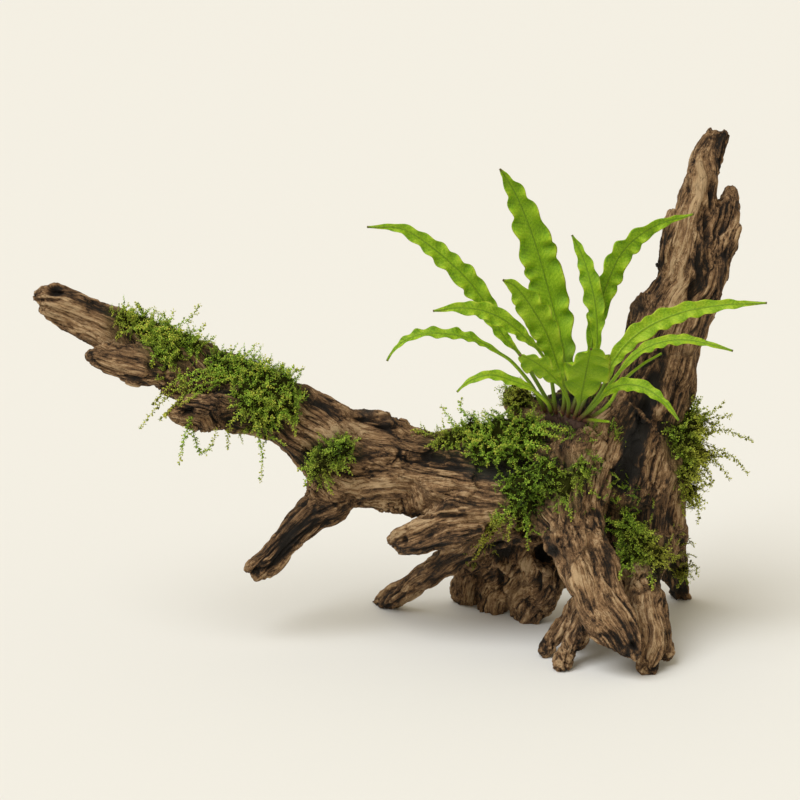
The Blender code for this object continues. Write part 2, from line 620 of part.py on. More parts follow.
def add_ball(shape, centre, radius):
    made = bmesh.ops.create_icosphere(shape, subdivisions=2, radius=radius)
    for vertex in made["verts"]:
        lump = noise.noise(vertex.co / (MOSS_LUMP_SPACING * MM) + centre * MOSS_LUMP_SHIFT) * MOSS_LUMP * MM
        vertex.co = centre + vertex.co * (1 + lump / radius)


def add_shoot(shape, tip, start):
    """A tapering spike from inside the clump to the tip of one long shoot."""
    direction = (tip - start).normalized()
    across, through = section_axes(direction)
    rings = []
    for point, radius in ((start, SHOOT_ROOT_RADIUS), (tip, SHOOT_TIP_RADIUS)):
        rings.append([
            shape.verts.new(point + (across * math.cos(angle) + through * math.sin(angle)) * radius * MM)
            for angle in (math.tau * side / SHOOT_SIDES for side in range(SHOOT_SIDES))
        ])
    close_tube(shape, rings)


def make_moss(wood, rhizome, finish):
    """Every clump of moss, hollowed underneath to lie on the wood."""
    for name, (balls, tips, triangles) in MOSS.items():
        shape = bmesh.new()
        centres = [place(*ball[:3]) for ball in balls]
        for centre, ball in zip(centres, balls):
            add_ball(shape, centre, ball[3] * MM)
        for tip in tips:
            point = place(*tip)
            nearest = min(centres, key=lambda centre: (centre - point).length)
            add_shoot(shape, point, nearest)
        mesh = fused(mesh_of(shape), MOSS_VOXEL, 1, triangles * SPARE_BEFORE_CUTS)
        mesh = thinned(without(mesh, [*wood.values(), rhizome], MOSS_GAP), triangles)
        add_object(name, mesh, finish)


clear_scene()
wood_finish = material("driftwood", WOOD_COLOUR, 0.85)
stalk_finish = material("rhizome", STALK_COLOUR, 0.7)
frond_finish = material("fern_frond", FROND_COLOUR, 0.45)
moss_finish = material("moss", MOSS_COLOUR, 0.8)
wood_pieces = make_wood(wood_finish)
rhizome_piece = make_rhizome(wood_pieces, stalk_finish)
for frond_name in FRONDS:
    make_frond(frond_name, frond_finish)
make_moss(wood_pieces, rhizome_piece, moss_finish)
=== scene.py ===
# %% [markdown]
# # Java fern on driftwood
# A branching piece of driftwood stands on the tips of its roots. A fern with wavy fronds grows on its
# crown, and clumps of moss sit along its limbs. This lesson dresses the plain solids of the model, the
# frame, in what the eye sees: weathered wood, thin leaves and thousands of tiny moss shoots. Every surface
# starts from a solid of the frame, so that each finished piece is where the model says.

# %% Load the frame
import itertools
import json
import math
import random

import bmesh
import bpy
import numpy as np
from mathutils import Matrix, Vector
from mathutils.bvhtree import BVHTree

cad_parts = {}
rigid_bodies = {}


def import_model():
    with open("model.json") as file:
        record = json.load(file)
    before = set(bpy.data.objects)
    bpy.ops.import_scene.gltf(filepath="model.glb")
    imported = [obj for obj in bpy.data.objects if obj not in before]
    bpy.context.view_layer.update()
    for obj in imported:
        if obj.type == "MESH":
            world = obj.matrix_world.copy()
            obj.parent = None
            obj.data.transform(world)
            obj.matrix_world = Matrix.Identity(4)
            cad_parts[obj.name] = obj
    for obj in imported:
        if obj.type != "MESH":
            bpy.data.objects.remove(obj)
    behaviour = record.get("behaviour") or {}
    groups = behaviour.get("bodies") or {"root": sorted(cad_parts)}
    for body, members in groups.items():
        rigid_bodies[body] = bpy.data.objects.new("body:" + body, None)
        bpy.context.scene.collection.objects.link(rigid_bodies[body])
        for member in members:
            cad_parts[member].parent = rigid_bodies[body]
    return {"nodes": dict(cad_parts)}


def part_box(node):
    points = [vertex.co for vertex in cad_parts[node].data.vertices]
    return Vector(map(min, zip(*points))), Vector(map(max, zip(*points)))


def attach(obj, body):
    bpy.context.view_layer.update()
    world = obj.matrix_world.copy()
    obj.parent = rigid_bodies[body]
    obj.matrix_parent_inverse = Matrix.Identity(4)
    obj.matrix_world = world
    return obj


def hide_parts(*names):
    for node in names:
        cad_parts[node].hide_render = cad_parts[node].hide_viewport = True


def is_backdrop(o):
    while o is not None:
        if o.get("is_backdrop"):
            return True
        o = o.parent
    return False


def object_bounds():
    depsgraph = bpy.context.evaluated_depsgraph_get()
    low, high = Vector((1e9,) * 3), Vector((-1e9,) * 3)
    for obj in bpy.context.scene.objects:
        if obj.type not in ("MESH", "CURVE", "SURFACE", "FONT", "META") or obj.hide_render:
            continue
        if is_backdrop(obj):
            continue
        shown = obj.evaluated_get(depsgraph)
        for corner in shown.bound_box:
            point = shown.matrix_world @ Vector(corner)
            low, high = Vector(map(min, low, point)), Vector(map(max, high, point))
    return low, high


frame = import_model()
cad_low, cad_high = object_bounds()
NODES = frame["nodes"]
MM = 0.001
print("frame:", len(NODES), "solids,", [round((b - a) / MM) for a, b in zip(cad_low, cad_high)], "mm")

# %% [markdown]
# ## Camera and light
# The wood is seen from the front and 15 degrees above. A long lens from 1.5 m keeps the perspective as weak
# as in the photograph. The light is one very soft lamp from the upper left, and a pale sky that fills the
# shadows. A sun lamp with a wide angle is used and not an area lamp, because it lights the whole floor
# evenly, so the background stays plain to the corners.

# %% Camera, lamp, sky and floor
LOOK_DOWN = math.radians(15.0)
LOOK_FROM = 1.5
LOOK_AT = Vector((0.0008, -0.0039, 0.12606))
SEEN_WIDTH = 0.400
SENSOR = 36.0

camera_data = bpy.data.cameras.new("camera")
camera_data.sensor_width = SENSOR
camera_data.lens = SENSOR * LOOK_FROM / SEEN_WIDTH
camera = bpy.data.objects.new("camera", camera_data)
camera.location = LOOK_AT + LOOK_FROM * Vector((0, -math.cos(LOOK_DOWN), math.sin(LOOK_DOWN)))
camera.rotation_euler = (math.pi / 2 - LOOK_DOWN, 0, 0)
bpy.context.scene.collection.objects.link(camera)
bpy.context.scene.camera = camera
bpy.context.scene.view_settings.view_transform = "Standard"

LAMP_FROM = Vector((-0.68, -0.66, 1.25))
LAMP_STRENGTH = 2.56
LAMP_ANGLE = math.radians(46.0)
LAMP_COLOUR = (0.975, 0.99, 1.035)
SKY = (1.0, 0.90, 0.70)
SKY_STRENGTH = 0.62
FLOOR_COLOUR = (0.728, 0.728, 0.700)
FLOOR_REACH = 9.0

lamp_data = bpy.data.lights.new("key lamp", "SUN")
lamp_data.energy = LAMP_STRENGTH
lamp_data.angle = LAMP_ANGLE
lamp_data.color = LAMP_COLOUR
lamp = bpy.data.objects.new("key lamp", lamp_data)
lamp.rotation_euler = LAMP_FROM.to_track_quat("Z", "Y").to_euler()
bpy.context.scene.collection.objects.link(lamp)

sky = bpy.data.worlds.new("sky")
sky.use_nodes = True
sky.node_tree.nodes["Background"].inputs["Color"].default_value = (*SKY, 1)
sky.node_tree.nodes["Background"].inputs["Strength"].default_value = SKY_STRENGTH
bpy.context.scene.world = sky


def plain_material(name, colour, roughness):
    made = bpy.data.materials.new(name)
    made.use_nodes = True
    shader = made.node_tree.nodes["Principled BSDF"]
    shader.inputs["Base Color"].default_value = (*colour, 1)
    shader.inputs["Roughness"].default_value = roughness
    return made


floor_mesh = bpy.data.meshes.new("floor")
corners = [(x * FLOOR_REACH, y * FLOOR_REACH, 0) for x, y in ((-1, -1), (1, -1), (1, 1), (-1, 1))]
floor_mesh.from_pydata(corners, [], [(0, 1, 2, 3)])
floor_mesh.materials.append(plain_material("pale floor", FLOOR_COLOUR, 0.9))
floor = bpy.data.objects.new("floor", floor_mesh)
bpy.context.scene.collection.objects.link(floor)
floor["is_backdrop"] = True
print("camera", tuple(round(c, 3) for c in camera.location), "lens", camera_data.lens)

# %% [markdown]
# ## Helpers that every piece uses
# Blender's meshes can be read and written as numpy arrays, which is many times faster than a Python loop
# over the points. A frame solid arrives as loose triangles, so a copy of it is welded before anything else
# is done with it.

# %% Meshes as arrays
WELD = 0.01 * MM


def points_of(mesh, kind="co"):
    flat = np.empty(len(mesh.vertices) * 3, np.float32)
    mesh.vertices.foreach_get(kind, flat)
    return flat.reshape(-1, 3).astype(np.float64)


def move_points(mesh, points):
    mesh.vertices.foreach_set("co", np.asarray(points, np.float32).ravel())
    mesh.update()


def triangle_count(mesh):
    mesh.calc_loop_triangles()
    return len(mesh.loop_triangles)


def merged(*meshes, weld=0.0):
    """The shapes of these meshes as one new mesh, with points closer than the weld distance made one."""
    shape = bmesh.new()
    for mesh in meshes:
        shape.from_mesh(mesh)
    if weld:
        bmesh.ops.remove_doubles(shape, verts=shape.verts, dist=weld)
    mesh = bpy.data.meshes.new("merged")
    shape.to_mesh(mesh)
    shape.free()
    return mesh


def welded(*nodes):
    """The solids of these nodes as one new mesh."""
    return merged(*(NODES[node_name].data for node_name in nodes), weld=WELD)


def with_modifiers(mesh, *settings):
    """The mesh after these modifiers, each given as its type and a dictionary of its settings."""
    obj = bpy.data.objects.new("working", mesh)
    bpy.context.scene.collection.objects.link(obj)
    for kind, values in settings:
        modifier = obj.modifiers.new(kind.lower(), kind)
        for key, value in values.items():
            setattr(modifier, key, value)
    bpy.context.view_layer.update()
    result = bpy.data.meshes.new_from_object(obj.evaluated_get(bpy.context.evaluated_depsgraph_get()))
    bpy.data.objects.remove(obj)
    return result


def remeshed(mesh, voxel, *more):
    """The mesh as one closed skin of small even faces, and then after more modifiers."""
    return with_modifiers(mesh, ("REMESH", {"mode": "VOXEL", "voxel_size": voxel}), *more)


def add_piece(name, mesh, slot, *replaced):
    """Makes the mesh a piece of the object, smooth, in place of the frame's nodes."""
    mesh.shade_smooth()
    piece = bpy.data.objects.new(name, mesh)
    bpy.context.scene.collection.objects.link(piece)
    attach(piece, "root")
    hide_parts(*replaced)
    print(f"{name}: {triangle_count(mesh)} triangles")
    return piece


def store(mesh, name, values):
    """Keeps one number, or one vector, for each point of the mesh, where a material can read it."""
    values = np.asarray(values, np.float32)
    kind, key = ("FLOAT", "value") if values.ndim == 1 else ("FLOAT_VECTOR", "vector")
    mesh.attributes.new(name, kind, "POINT").data.foreach_set(key, values.ravel())


def surface_of(*meshes):
    """A search tree of the meshes' faces, for the nearest place on them."""
    points, faces = [], []
    for mesh in meshes:
        start = len(points)
        points += [v.co.copy() for v in mesh.vertices]
        faces += [[start + i for i in p.vertices] for p in mesh.polygons]
    return BVHTree.FromPolygons(points, faces)


def distances(points, surface):
    return np.array([surface.find_nearest(p)[3] for p in points.tolist()])


def smoothstep(low, high, values):
    t = np.clip((values - low) / (high - low), 0, 1)
    return t * t * (3 - 2 * t)


# %% [markdown]
# ## Places in the picture
# Marks on the wood, patches of moss and loose strands are where the photograph shows them. Such a place is
# given in millimetres across from the picture's middle, up from the front feet, and, where it matters, back
# from a plane 55 mm behind the front feet. One function turns such a place into a point of the model, and
# one goes the other way.

# %% Places as they are seen
SEEN_CENTRE_UP = 136.0
FRONT_FEET_BACK = -55.0
# where the frame's origin is, across and back
ORIGIN = (-0.8, 3.9)
TOWARDS_CAMERA = np.array((0, -math.cos(LOOK_DOWN), math.sin(LOOK_DOWN)))


def place(across, up, back):
    """The point of the model that looks to be there from the front and 15 degrees above, in metres."""
    from_centre = up - SEEN_CENTRE_UP
    centre_height = (SEEN_CENTRE_UP + FRONT_FEET_BACK * math.sin(LOOK_DOWN)) / math.cos(LOOK_DOWN)
    far = LOOK_FROM / MM
    rise = from_centre * (far + back * math.cos(LOOK_DOWN)) - far * back * math.sin(LOOK_DOWN)
    rise /= far * math.cos(LOOK_DOWN) + from_centre * math.sin(LOOK_DOWN)
    further = back * math.cos(LOOK_DOWN) - rise * math.sin(LOOK_DOWN)
    return Vector((across * (1 + further / far) - ORIGIN[0], back - ORIGIN[1], centre_height + rise)) * MM


def as_seen(points):
    """Millimetres across and up at which each point shows in the picture."""
    offset = (points - np.array(camera.location)) @ np.array(camera.rotation_euler.to_matrix())
    flat = offset[:, :2] / -offset[:, 2:] * LOOK_FROM / MM
    return flat[:, 0], flat[:, 1] + SEEN_CENTRE_UP


def bell(seen, mark):
    """1 in the middle of a mark, falling to nearly 0 at its edge, for places across and up."""
    across, up, half_width, half_height = mark[:4]
    return np.exp(-(((seen[0] - across) / half_width) ** 2) - ((seen[1] - up) / half_height) ** 2)


print("the picture's middle is at", tuple(round(c, 3) for c in place(0, SEEN_CENTRE_UP, 0)))

# %% [markdown]
# ## Noise
# Weathered wood is a sum of rough patterns. Each is smooth noise, a value that wanders between about -1 and
# 1. Perlin's recipe is used: every corner of a grid gets a random slope, and a point blends the slopes of
# the eight corners round it. Written for whole arrays at once, it covers all of the driftwood in a fraction
# of a second.

# %% Noise for arrays of points
TABLE_SIZE = 256
table_random = np.random.default_rng(4)
SLOPES = table_random.normal(size=(TABLE_SIZE, 3))
SLOPES /= np.linalg.norm(SLOPES, axis=1)[:, None]
SHUFFLE = table_random.permutation(TABLE_SIZE)
SEED_STEP = np.array((17.31, 5.17, 31.73))
# brings the blended slopes to between about -1 and 1
NOISE_GAIN = 1.6


def noise_at(points, cell, seed=0):
    """Noise at the points, whose cells have this size, one number or three."""
    points = points / np.asarray(cell, float) + SEED_STEP * seed
    corner = np.floor(points).astype(np.int64)
    inside = points - corner
    fade = inside**3 * (inside * (inside * 6 - 15) + 10)
    total = np.zeros(len(points))
    for step in itertools.product((0, 1), repeat=3):
        key = (corner + step) % TABLE_SIZE
        mixed = SHUFFLE[(SHUFFLE[(SHUFFLE[key[:, 0]] + key[:, 1]) % TABLE_SIZE] + key[:, 2]) % TABLE_SIZE]
        share = np.prod(np.where(step, fade, 1 - fade), axis=1)
        total += share * np.einsum("ij,ij->i", SLOPES[mixed], inside - step)
    return total * NOISE_GAIN


print("noise ready, a first value is", round(float(noise_at(np.array([[3.2, 1.1, 0.7]]), 1.0)[0]), 3))

# %% [markdown]
# ## Driftwood: one skin over every limb
# In the frame the wood is parted at its forks by hairline gaps. The real wood is one piece, so the limbs'
# surfaces are pushed out until they overlap, a voxel remesh wraps them in one closed skin, and the skin is
# pulled back by the same amount. The knobby roots at the back are pushed out further, into one mass, and a
# few thin limbs a little, so that they look as stout as the real ones. Under the fern's stem the wood is
# raised to a small mound. Smoothing that first pulls each point towards its neighbours and then pushes it
# out again softens the facets and rounds the forks without thinning the limbs.

# %% Fuse the limbs
WOOD_NODES = [name for name in NODES if name.startswith(("wood_", "root_"))]
BRIDGING = 0.75 * MM
SKIN_VOXEL = 0.7 * MM
SMOOTHING_ROUNDS = 22
PULL, PUSH = 0.6, -0.62
# millimetres that a limb is pushed out beyond what bridges the gaps
SWELL = {
    "root_rear_left": 3.2, "root_rear_middle": 3.4, "root_far_left": 3.0, "wood_arm_lower_prong": 1.2,
    "root_left_upper": 1.0, "wood_arm_upper_prong": 0.5, "wood_arm_leg": 0.4, "wood_arm_knob": 0.5,
}
MOUND_SLOPE = 1.0
MOUND_RISE = 20 * MM
MOUND_REACH = 24 * MM


def smoothed(points, edges, rounds):
    """The points after rounds of a pull towards their neighbours and a push back out."""
    start, end = edges.T
    neighbours = np.bincount(edges.ravel(), minlength=len(points))[:, None]
    for _, pull in itertools.product(range(rounds), (PULL, PUSH)):
        total = np.stack([
            np.bincount(start, points[end, axis], len(points))
            + np.bincount(end, points[start, axis], len(points))
            for axis in range(3)
        ], axis=1)
        points = points + pull * (total / neighbours - points)
    return points


def edges_of(mesh):
    flat = np.empty(len(mesh.edges) * 2, np.int32)
    mesh.edges.foreach_get("vertices", flat)
    return flat.reshape(-1, 2)


def pushed_out(node_name):
    """A limb, grown enough to meet its neighbours, and more where it is named in SWELL."""
    mesh = welded(node_name)
    growth = BRIDGING + SWELL.get(node_name, 0) * MM
    move_points(mesh, points_of(mesh) + points_of(mesh, "normal") * growth)
    return mesh


def mound_under(points, normals, stem):
    """The points with the tops of the wood raised to a ridge that reaches the stem's underside."""
    underside = points_of(stem)[points_of(stem, "normal")[:, 2] < -0.3]
    away = np.linalg.norm(points[:, None, :2] - underside[None, :, :2], axis=2)
    target = (underside[:, 2] - MOUND_SLOPE * away).max(axis=1)
    rise = np.where(target - points[:, 2] < MOUND_RISE, np.maximum(0, target - points[:, 2]), 0)
    rise *= smoothstep(-0.1, 0.35, normals[:, 2])
    rise *= 1 - smoothstep(MOUND_REACH / 2, MOUND_REACH, away.min(axis=1))
    return points + np.outer(rise, (0, 0, 1))


wood_mesh = remeshed(merged(*(pushed_out(name) for name in WOOD_NODES)), SKIN_VOXEL)
raised = mound_under(points_of(wood_mesh), points_of(wood_mesh, "normal"), welded("rhizome"))
move_points(wood_mesh, smoothed(raised, edges_of(wood_mesh), SMOOTHING_ROUNDS))
wood_points = points_of(wood_mesh) - points_of(wood_mesh, "normal") * BRIDGING
print("wood skin:", len(wood_points), "points")

# %% [markdown]
# ## Driftwood: which way the grain runs
# Wood splits and weathers along its grain, and the grain follows each limb. So each limb gets a centre
# line, found by slicing its solid, and the line is carried on into the wood that the limb grows from. The
# crown has no single direction, so three lines of grain over it are drawn. Every point of the skin
# then has a place along its nearest line and a place across it. A second line is kept as well, and the two
# are blended where they meet, so that the patterns flow together at the forks.

# %% Centre lines of the limbs
SLICE = 9 * MM
CROWN_REACH = 46 * MM
SMALL_REACH = 16 * MM
BIG_LIMBS = ("wood_upright", "wood_arm", "root_front", "root_left_upper", "root_left_lower")
STEPS_INWARD = 3
NEAREST_POINTS = 40
ROOT_SPREAD = 1.25
BLEND_SOFTNESS = 0.3


def centre_line(node_name):
    """Points down the middle of a limb, from inside its parent to its tip, with the radius at each."""
    points = points_of(welded(node_name))
    parent = "wood_arm" if node_name.startswith("wood_arm_") else "wood_crown"
    parent_points = points_of(welded(parent))
    middle = points.mean(axis=0)
    axis = np.linalg.svd(points - middle, full_matrices=False)[2][0]
    along = (points - middle) @ axis
    slices = max(3, round((along.max() - along.min()) / SLICE))
    cuts = np.linspace(along.min(), along.max(), slices + 1)
    line, radii = [], []
    for low, high in zip(cuts, cuts[1:]):
        ring = points[(along >= low - SLICE / 2) & (along <= high + SLICE / 2)]
        centre = ring.mean(axis=0)
        line.append(centre)
        radii.append(np.linalg.norm(np.cross(ring - centre, axis), axis=1).mean())
    line, radii = np.array(line), np.array(radii)
    gap_at = [np.linalg.norm(parent_points - end, axis=1).min() for end in (line[0], line[-1])]
    if gap_at[1] < gap_at[0]:
        line, radii = line[::-1], radii[::-1]
    by_distance = np.argsort(np.linalg.norm(parent_points - line[0], axis=1))
    target = parent_points[by_distance[:NEAREST_POINTS]].mean(axis=0)
    if parent == "wood_crown":
        target = (target + 2 * parent_points.mean(axis=0)) / 3
    reach = CROWN_REACH if node_name in BIG_LIMBS else SMALL_REACH
    inward = (target - line[0]) / np.linalg.norm(target - line[0])
    outward = (line[0] - line[1]) / np.linalg.norm(line[0] - line[1])
    steps = np.linspace(1, 1 / STEPS_INWARD, STEPS_INWARD)[:, None]
    carried_on = line[0] + reach * steps * (inward * steps + outward * (1 - steps))
    tip = line[-1] + (line[-1] - line[-2])
    radii = np.concatenate([[radii[0] * ROOT_SPREAD] * STEPS_INWARD, radii, radii[-1:]])
    return np.vstack([carried_on, line, tip]), radii


# lines of grain over the crown: a radius in millimetres, and places across, up and back
CROWN_GRAIN = {
    "buttress": (15, [
        (122, 168, 0), (110, 142, -12), (99, 120, -24), (92, 102, -30), (88, 84, -30), (90, 68, -32),
    ]),
    "right face": (13, [(136, 150, 0), (128, 120, -6), (123, 92, -12), (121, 66, -12), (122, 50, -16)]),
    "left shoulder": (14, [(-24, 112, 4), (0, 108, 0), (28, 104, -6), (56, 100, -14), (80, 96, -22)]),
}
LIMBS = [name for name in WOOD_NODES if name != "wood_crown"]
limb_lines = {name: centre_line(name) for name in LIMBS}
for name, (radius, route) in CROWN_GRAIN.items():
    limb_lines[name] = (np.array([place(*point) for point in route]), np.full(len(route), radius * MM))
print("limbs:", {name: round(float(np.mean(radii)) / MM) for name, (_, radii) in limb_lines.items()})

# %% Grain places of every point of the skin


def axes_along(line):
    """At each point of the line, two directions square to it that turn as little as they can."""
    tangents = np.gradient(line, axis=0)
    tangents /= np.linalg.norm(tangents, axis=1)[:, None]
    first = np.cross(tangents[0], (0.3, 0.9, 0.2))
    axes = []
    for tangent in tangents:
        first = first - tangent * (first @ tangent)
        first /= np.linalg.norm(first)
        axes.append((first, np.cross(tangent, first)))
    return np.array(axes)


def grain_on(points, line, radii):
    """How far off the limb each point is, in radii, and its place in the grain: across, through and along."""
    axes = axes_along(line)
    nearest = np.full(len(points), np.inf)
    off = np.empty(len(points))
    place_in_grain = np.empty((len(points), 3))
    walked = 0.0
    for i in range(len(line) - 1):
        run = line[i + 1] - line[i]
        share = np.clip((points - line[i]) @ run / (run @ run), 0, 1)
        away = points - line[i] - share[:, None] * run
        distance = np.linalg.norm(away, axis=1)
        better = distance < nearest
        s = share[better, None]
        across, through = ((1 - s) * axes[i, k] + s * axes[i + 1, k] for k in (0, 1))
        nearest[better] = distance[better]
        off[better] = distance[better] / (radii[i] + share[better] * (radii[i + 1] - radii[i]))
        place_in_grain[better, 0] = np.einsum("ij,ij->i", away[better], across)
        place_in_grain[better, 1] = np.einsum("ij,ij->i", away[better], through)
        place_in_grain[better, 2] = walked + share[better] * np.linalg.norm(run)
        walked += np.linalg.norm(run)
    return off, place_in_grain


def two_nearest_grains(points):
    """The grain places on the nearest and second nearest limb, and the share of the second, 0 to a half."""
    off = np.full((2, len(points)), np.inf)
    grain = np.zeros((2, len(points), 3))
    for number, (line, radii) in enumerate(limb_lines.values()):
        new_off, new_grain = grain_on(points, line, radii)
        new_grain[:, 0] += number
        first = new_off < off[0]
        off[1, first], grain[1, first] = off[0, first], grain[0, first]
        off[0, first], grain[0, first] = new_off[first], new_grain[first]
        second = ~first & (new_off < off[1])
        off[1, second], grain[1, second] = new_off[second], new_grain[second]
    return grain[0] / MM, grain[1] / MM, 0.5 - 0.5 * smoothstep(0, BLEND_SOFTNESS, off[1] - off[0])


grain_first, grain_second, second_share = two_nearest_grains(wood_points)
print("grain: limbs blend at", round(100 * float((second_share > 0.05).mean())), "% of the points")

# %% [markdown]
# ## Driftwood: furrows, cracks and splintered ledges
# Years in water eat the soft wood away and leave the hard fibres standing. The patterns below are stretched
# along the grain: broad furrows and narrow cracks, each where a noise crosses zero, and ledges, where noise
# is rounded to steps as if thin plates had split off. Round lumps that ignore the grain keep the limbs from
# looking turned on a lathe. Only shapes wider than a millimetre or two are made here. Finer fibres are left
# to the material.

# %% Raise the relief
LUMPS = ((21.0, 1.1), (9.0, 0.8), (3.1, 0.24))
FURROW = {"cell": (7.0, 7.0, 80.0), "width": 0.11, "depth": 1.3}
CRACK = {"cell": (3.6, 3.6, 42.0), "width": 0.10, "depth": 1.4}
SMALL_CRACK = {"cell": (2.0, 2.0, 20.0), "width": 0.15, "depth": 0.7}
LEDGE_CELL = (3.6, 3.6, 34.0)
LEDGES = 2.4
LEDGE_HEIGHT = 1.15
FIBRE_CELL = (1.5, 1.5, 18.0)
FIBRE_HEIGHT = 0.42
WARPS = (((26.0, 26.0, 60.0), 2.2), ((6.0, 6.0, 26.0), 0.35))


def grooves(grain, kind, seed):
    """0 on the sound wood to 1 at the bottom of a groove, with stretches that have none."""
    lines = np.exp(-((noise_at(grain, kind["cell"], seed) / kind["width"]) ** 2))
    where = smoothstep(-0.25, 0.25, noise_at(grain, np.array(kind["cell"]) * 2.3, seed + 1))
    return lines * where


def terraces(values):
    """The values rounded to steps with short steep risers."""
    steps = values * LEDGES
    whole = np.floor(steps)
    return (whole + smoothstep(0.72, 1.0, steps - whole)) / LEDGES


def relief(grain):
    """Height in millimetres at these grain places, and how deep in a groove they are, from 0 to 1."""
    for cell, reach in WARPS:
        bend = np.stack([noise_at(grain, cell, seed) for seed in (21, 22)], axis=1) * reach
        grain = grain + np.column_stack([bend, np.zeros(len(grain))])
    furrow, crack, small = (grooves(grain, k, s) for k, s in ((FURROW, 1), (CRACK, 3), (SMALL_CRACK, 5)))
    height = terraces(noise_at(grain, LEDGE_CELL, 7)) * LEDGE_HEIGHT
    height += noise_at(grain, FIBRE_CELL, 9) * FIBRE_HEIGHT
    height -= furrow * FURROW["depth"] + crack * CRACK["depth"] + small * SMALL_CRACK["depth"]
    return height, np.clip(furrow * 0.7 + crack + small * 0.6, 0, 1)


height, groove = relief(grain_first)
blended = second_share > 0
height_2, groove_2 = relief(grain_second[blended])
share = second_share[blended]
height[blended] += share * (height_2 - height[blended])
groove[blended] += share * (groove_2 - groove[blended])
for cell, tall in LUMPS:
    height += noise_at(wood_points / MM, cell, int(cell)) * tall
height -= height.mean()
print("relief: from", round(float(height.min()), 1), "to", round(float(height.max()), 1), "mm")

# %% [markdown]
# ## Driftwood: things that have a place of their own
# Some marks are where they are on the real piece: knot holes at the tips of the arm, hollows between the
# limbs, a flake that stands along the top of the arm, and knobs on the roots at the back. The hollows are
# painted dark, as painted shade. Dark marks round the crown are partly wet-looking stains and partly
# painted shade, in the hollows, under the moss, under the flake and round the fern's stem. Pale tan marks
# are partly worn wood and partly painted highlights where the light falls. Each mark is placed as it is
# seen, in millimetres to the right of the picture's middle and above the front feet, and then lies on
# whatever wood faces the front there. Knobs, and trims, which take a little off an edge of the outline,
# reach through to the back as well.

# %% Hollows, stains and worn faces
# across, up, half width, half height, depth (less than 0 is a bulge)
HOLLOWS = [
    # holes in the tips of limbs
    (-172, 190, 4.0, 2.2, 4.0), (-106, 130, 3.4, 3.0, 4.5), (117, 13, 2.4, 2.4, 3.0),
    (-72, 50, 1.8, 1.8, 2.0), (2, 66, 1.8, 1.8, 2.0),
    # the valley between the crown and the upright, painted dark as shade
    (127, 142, 4.0, 9.0, 3.0), (122, 127, 4.0, 9.0, 4.0), (116, 112, 4.5, 9.0, 5.0), (111, 97, 5.0, 8.0, 5.0),
    # a hollow under the crown's left moss, and a groove along the arm's tip
    (56, 103, 17.0, 4.0, 4.5), (-176, 186, 7.0, 1.2, 1.8),
    # grooves down the upright
    (156, 238, 1.4, 9.0, 2.0), (153.5, 222, 1.5, 9.0, 2.4), (149.5, 206, 1.5, 10.0, 2.2),
    (146, 190, 1.5, 9.0, 1.8), (131, 160, 2.2, 13.0, 1.4),
    # grooves along the front root and the upper left root, and a bulge on the crown
    (104, 62, 2.4, 20.0, 1.3), (20, 78, 20.0, 1.5, 1.8), (98, 112, 12.0, 20.0, -2.2),
    # hollows between the roots at the back
    (52, 60, 8.0, 4.5, 4.0), (74, 60, 6.0, 4.0, 3.0), (50, 46, 1.8, 5.0, 2.6), (69, 45, 1.8, 5.0, 2.6),
    # the flake along the top of the arm, and the grooves under it
    (-18, 130.5, 5.0, 2.2, -2.8), (-10, 127.5, 6.0, 2.2, -2.8), (-1, 124, 6.0, 2.2, -2.4),
    (-16, 126.2, 6.0, 1.3, 1.8), (-6, 122.4, 7.0, 1.3, 1.8),
]
# across, up, half width, half height, height of the knobs, where the wood is knobby
KNOBBY = [(60, 50, 36, 22, 3.3), (84, 24, 12, 16, 1.2), (128, 14, 12, 14, 1.0), (-104, 130, 10, 8, 1.0)]
KNOB_CELL = 8.5
# across, up, half width, half height, depth, where an edge of the outline is cut back
TRIMS = [(125, 206, 6.0, 14.0, 4.0), (123, 222, 6.0, 8.0, 2.0), (111, 172, 6.0, 13.0, 3.2)]
# across, up, half width, half height, darkness: partly stains, partly painted shade
# (less than 0: worn and pale, partly a painted highlight)
STAIN_AND_PAINTED_LIGHT_MARKS = [
    (127, 142, 6, 11, 0.9), (122, 127, 6, 11, 1.0), (116, 112, 7, 11, 1.1), (111, 97, 8, 10, 1.1),
    (120, 80, 12, 11, 0.8), (46, 100, 17, 6, 0.9), (60, 98, 30, 7, 0.5), (60, 40, 30, 12, -0.2),
    (62, 64, 26, 7, 0.40), (135, 42, 8, 22, 0.6), (-46, 72, 20, 16, 0.3), (30, 84, 12, 5, 0.4),
    (-90, 128, 16, 6, 0.45), (112, 164, 8, 18, 0.4), (149, 204, 3, 14, 0.4), (148, 265, 6, 6, 0.5),
    (96, 30, 6, 14, 0.3), (-20, 106, 40, 5, 0.4), (88, 134, 24, 8, 1.2), (86, 119, 14, 7, 0.9),
    (130, 198, 4, 11, 0.7), (120, 180, 5, 9, 0.6),
    (150, 240, 8, 24, -0.8), (139, 205, 9, 30, -0.9), (140, 176, 11, 20, -0.7), (104, 98, 8, 14, -0.9),
    (86, 76, 12, 16, -0.4), (104, 36, 12, 24, -0.5), (-165, 184, 22, 8, -0.6), (-32, 122, 44, 7, -0.6),
    (-20, 92, 36, 8, -0.4), (28, 76, 26, 9, -0.5), (0, 40, 22, 8, -0.4), (126, 30, 8, 18, -0.3),
    (80, 22, 9, 9, -0.3), (-17, 129.5, 7, 3.5, 1.3), (-5, 125, 9, 3.5, 1.3),
]
# how much smoother worn wood is, and how much shallower its grooves
WORN_SMOOTHER = 0.25
WORN_SHALLOWER = 0.4
# how dark the hollows are painted, as painted shade
HOLE_PAINTED_SHADE = 0.8
# size in millimetres, strength and seed of the blotches that darken the wood here and there
BLOTCHES = ((30.0, 0.28, 31), (11.0, 0.20, 33))


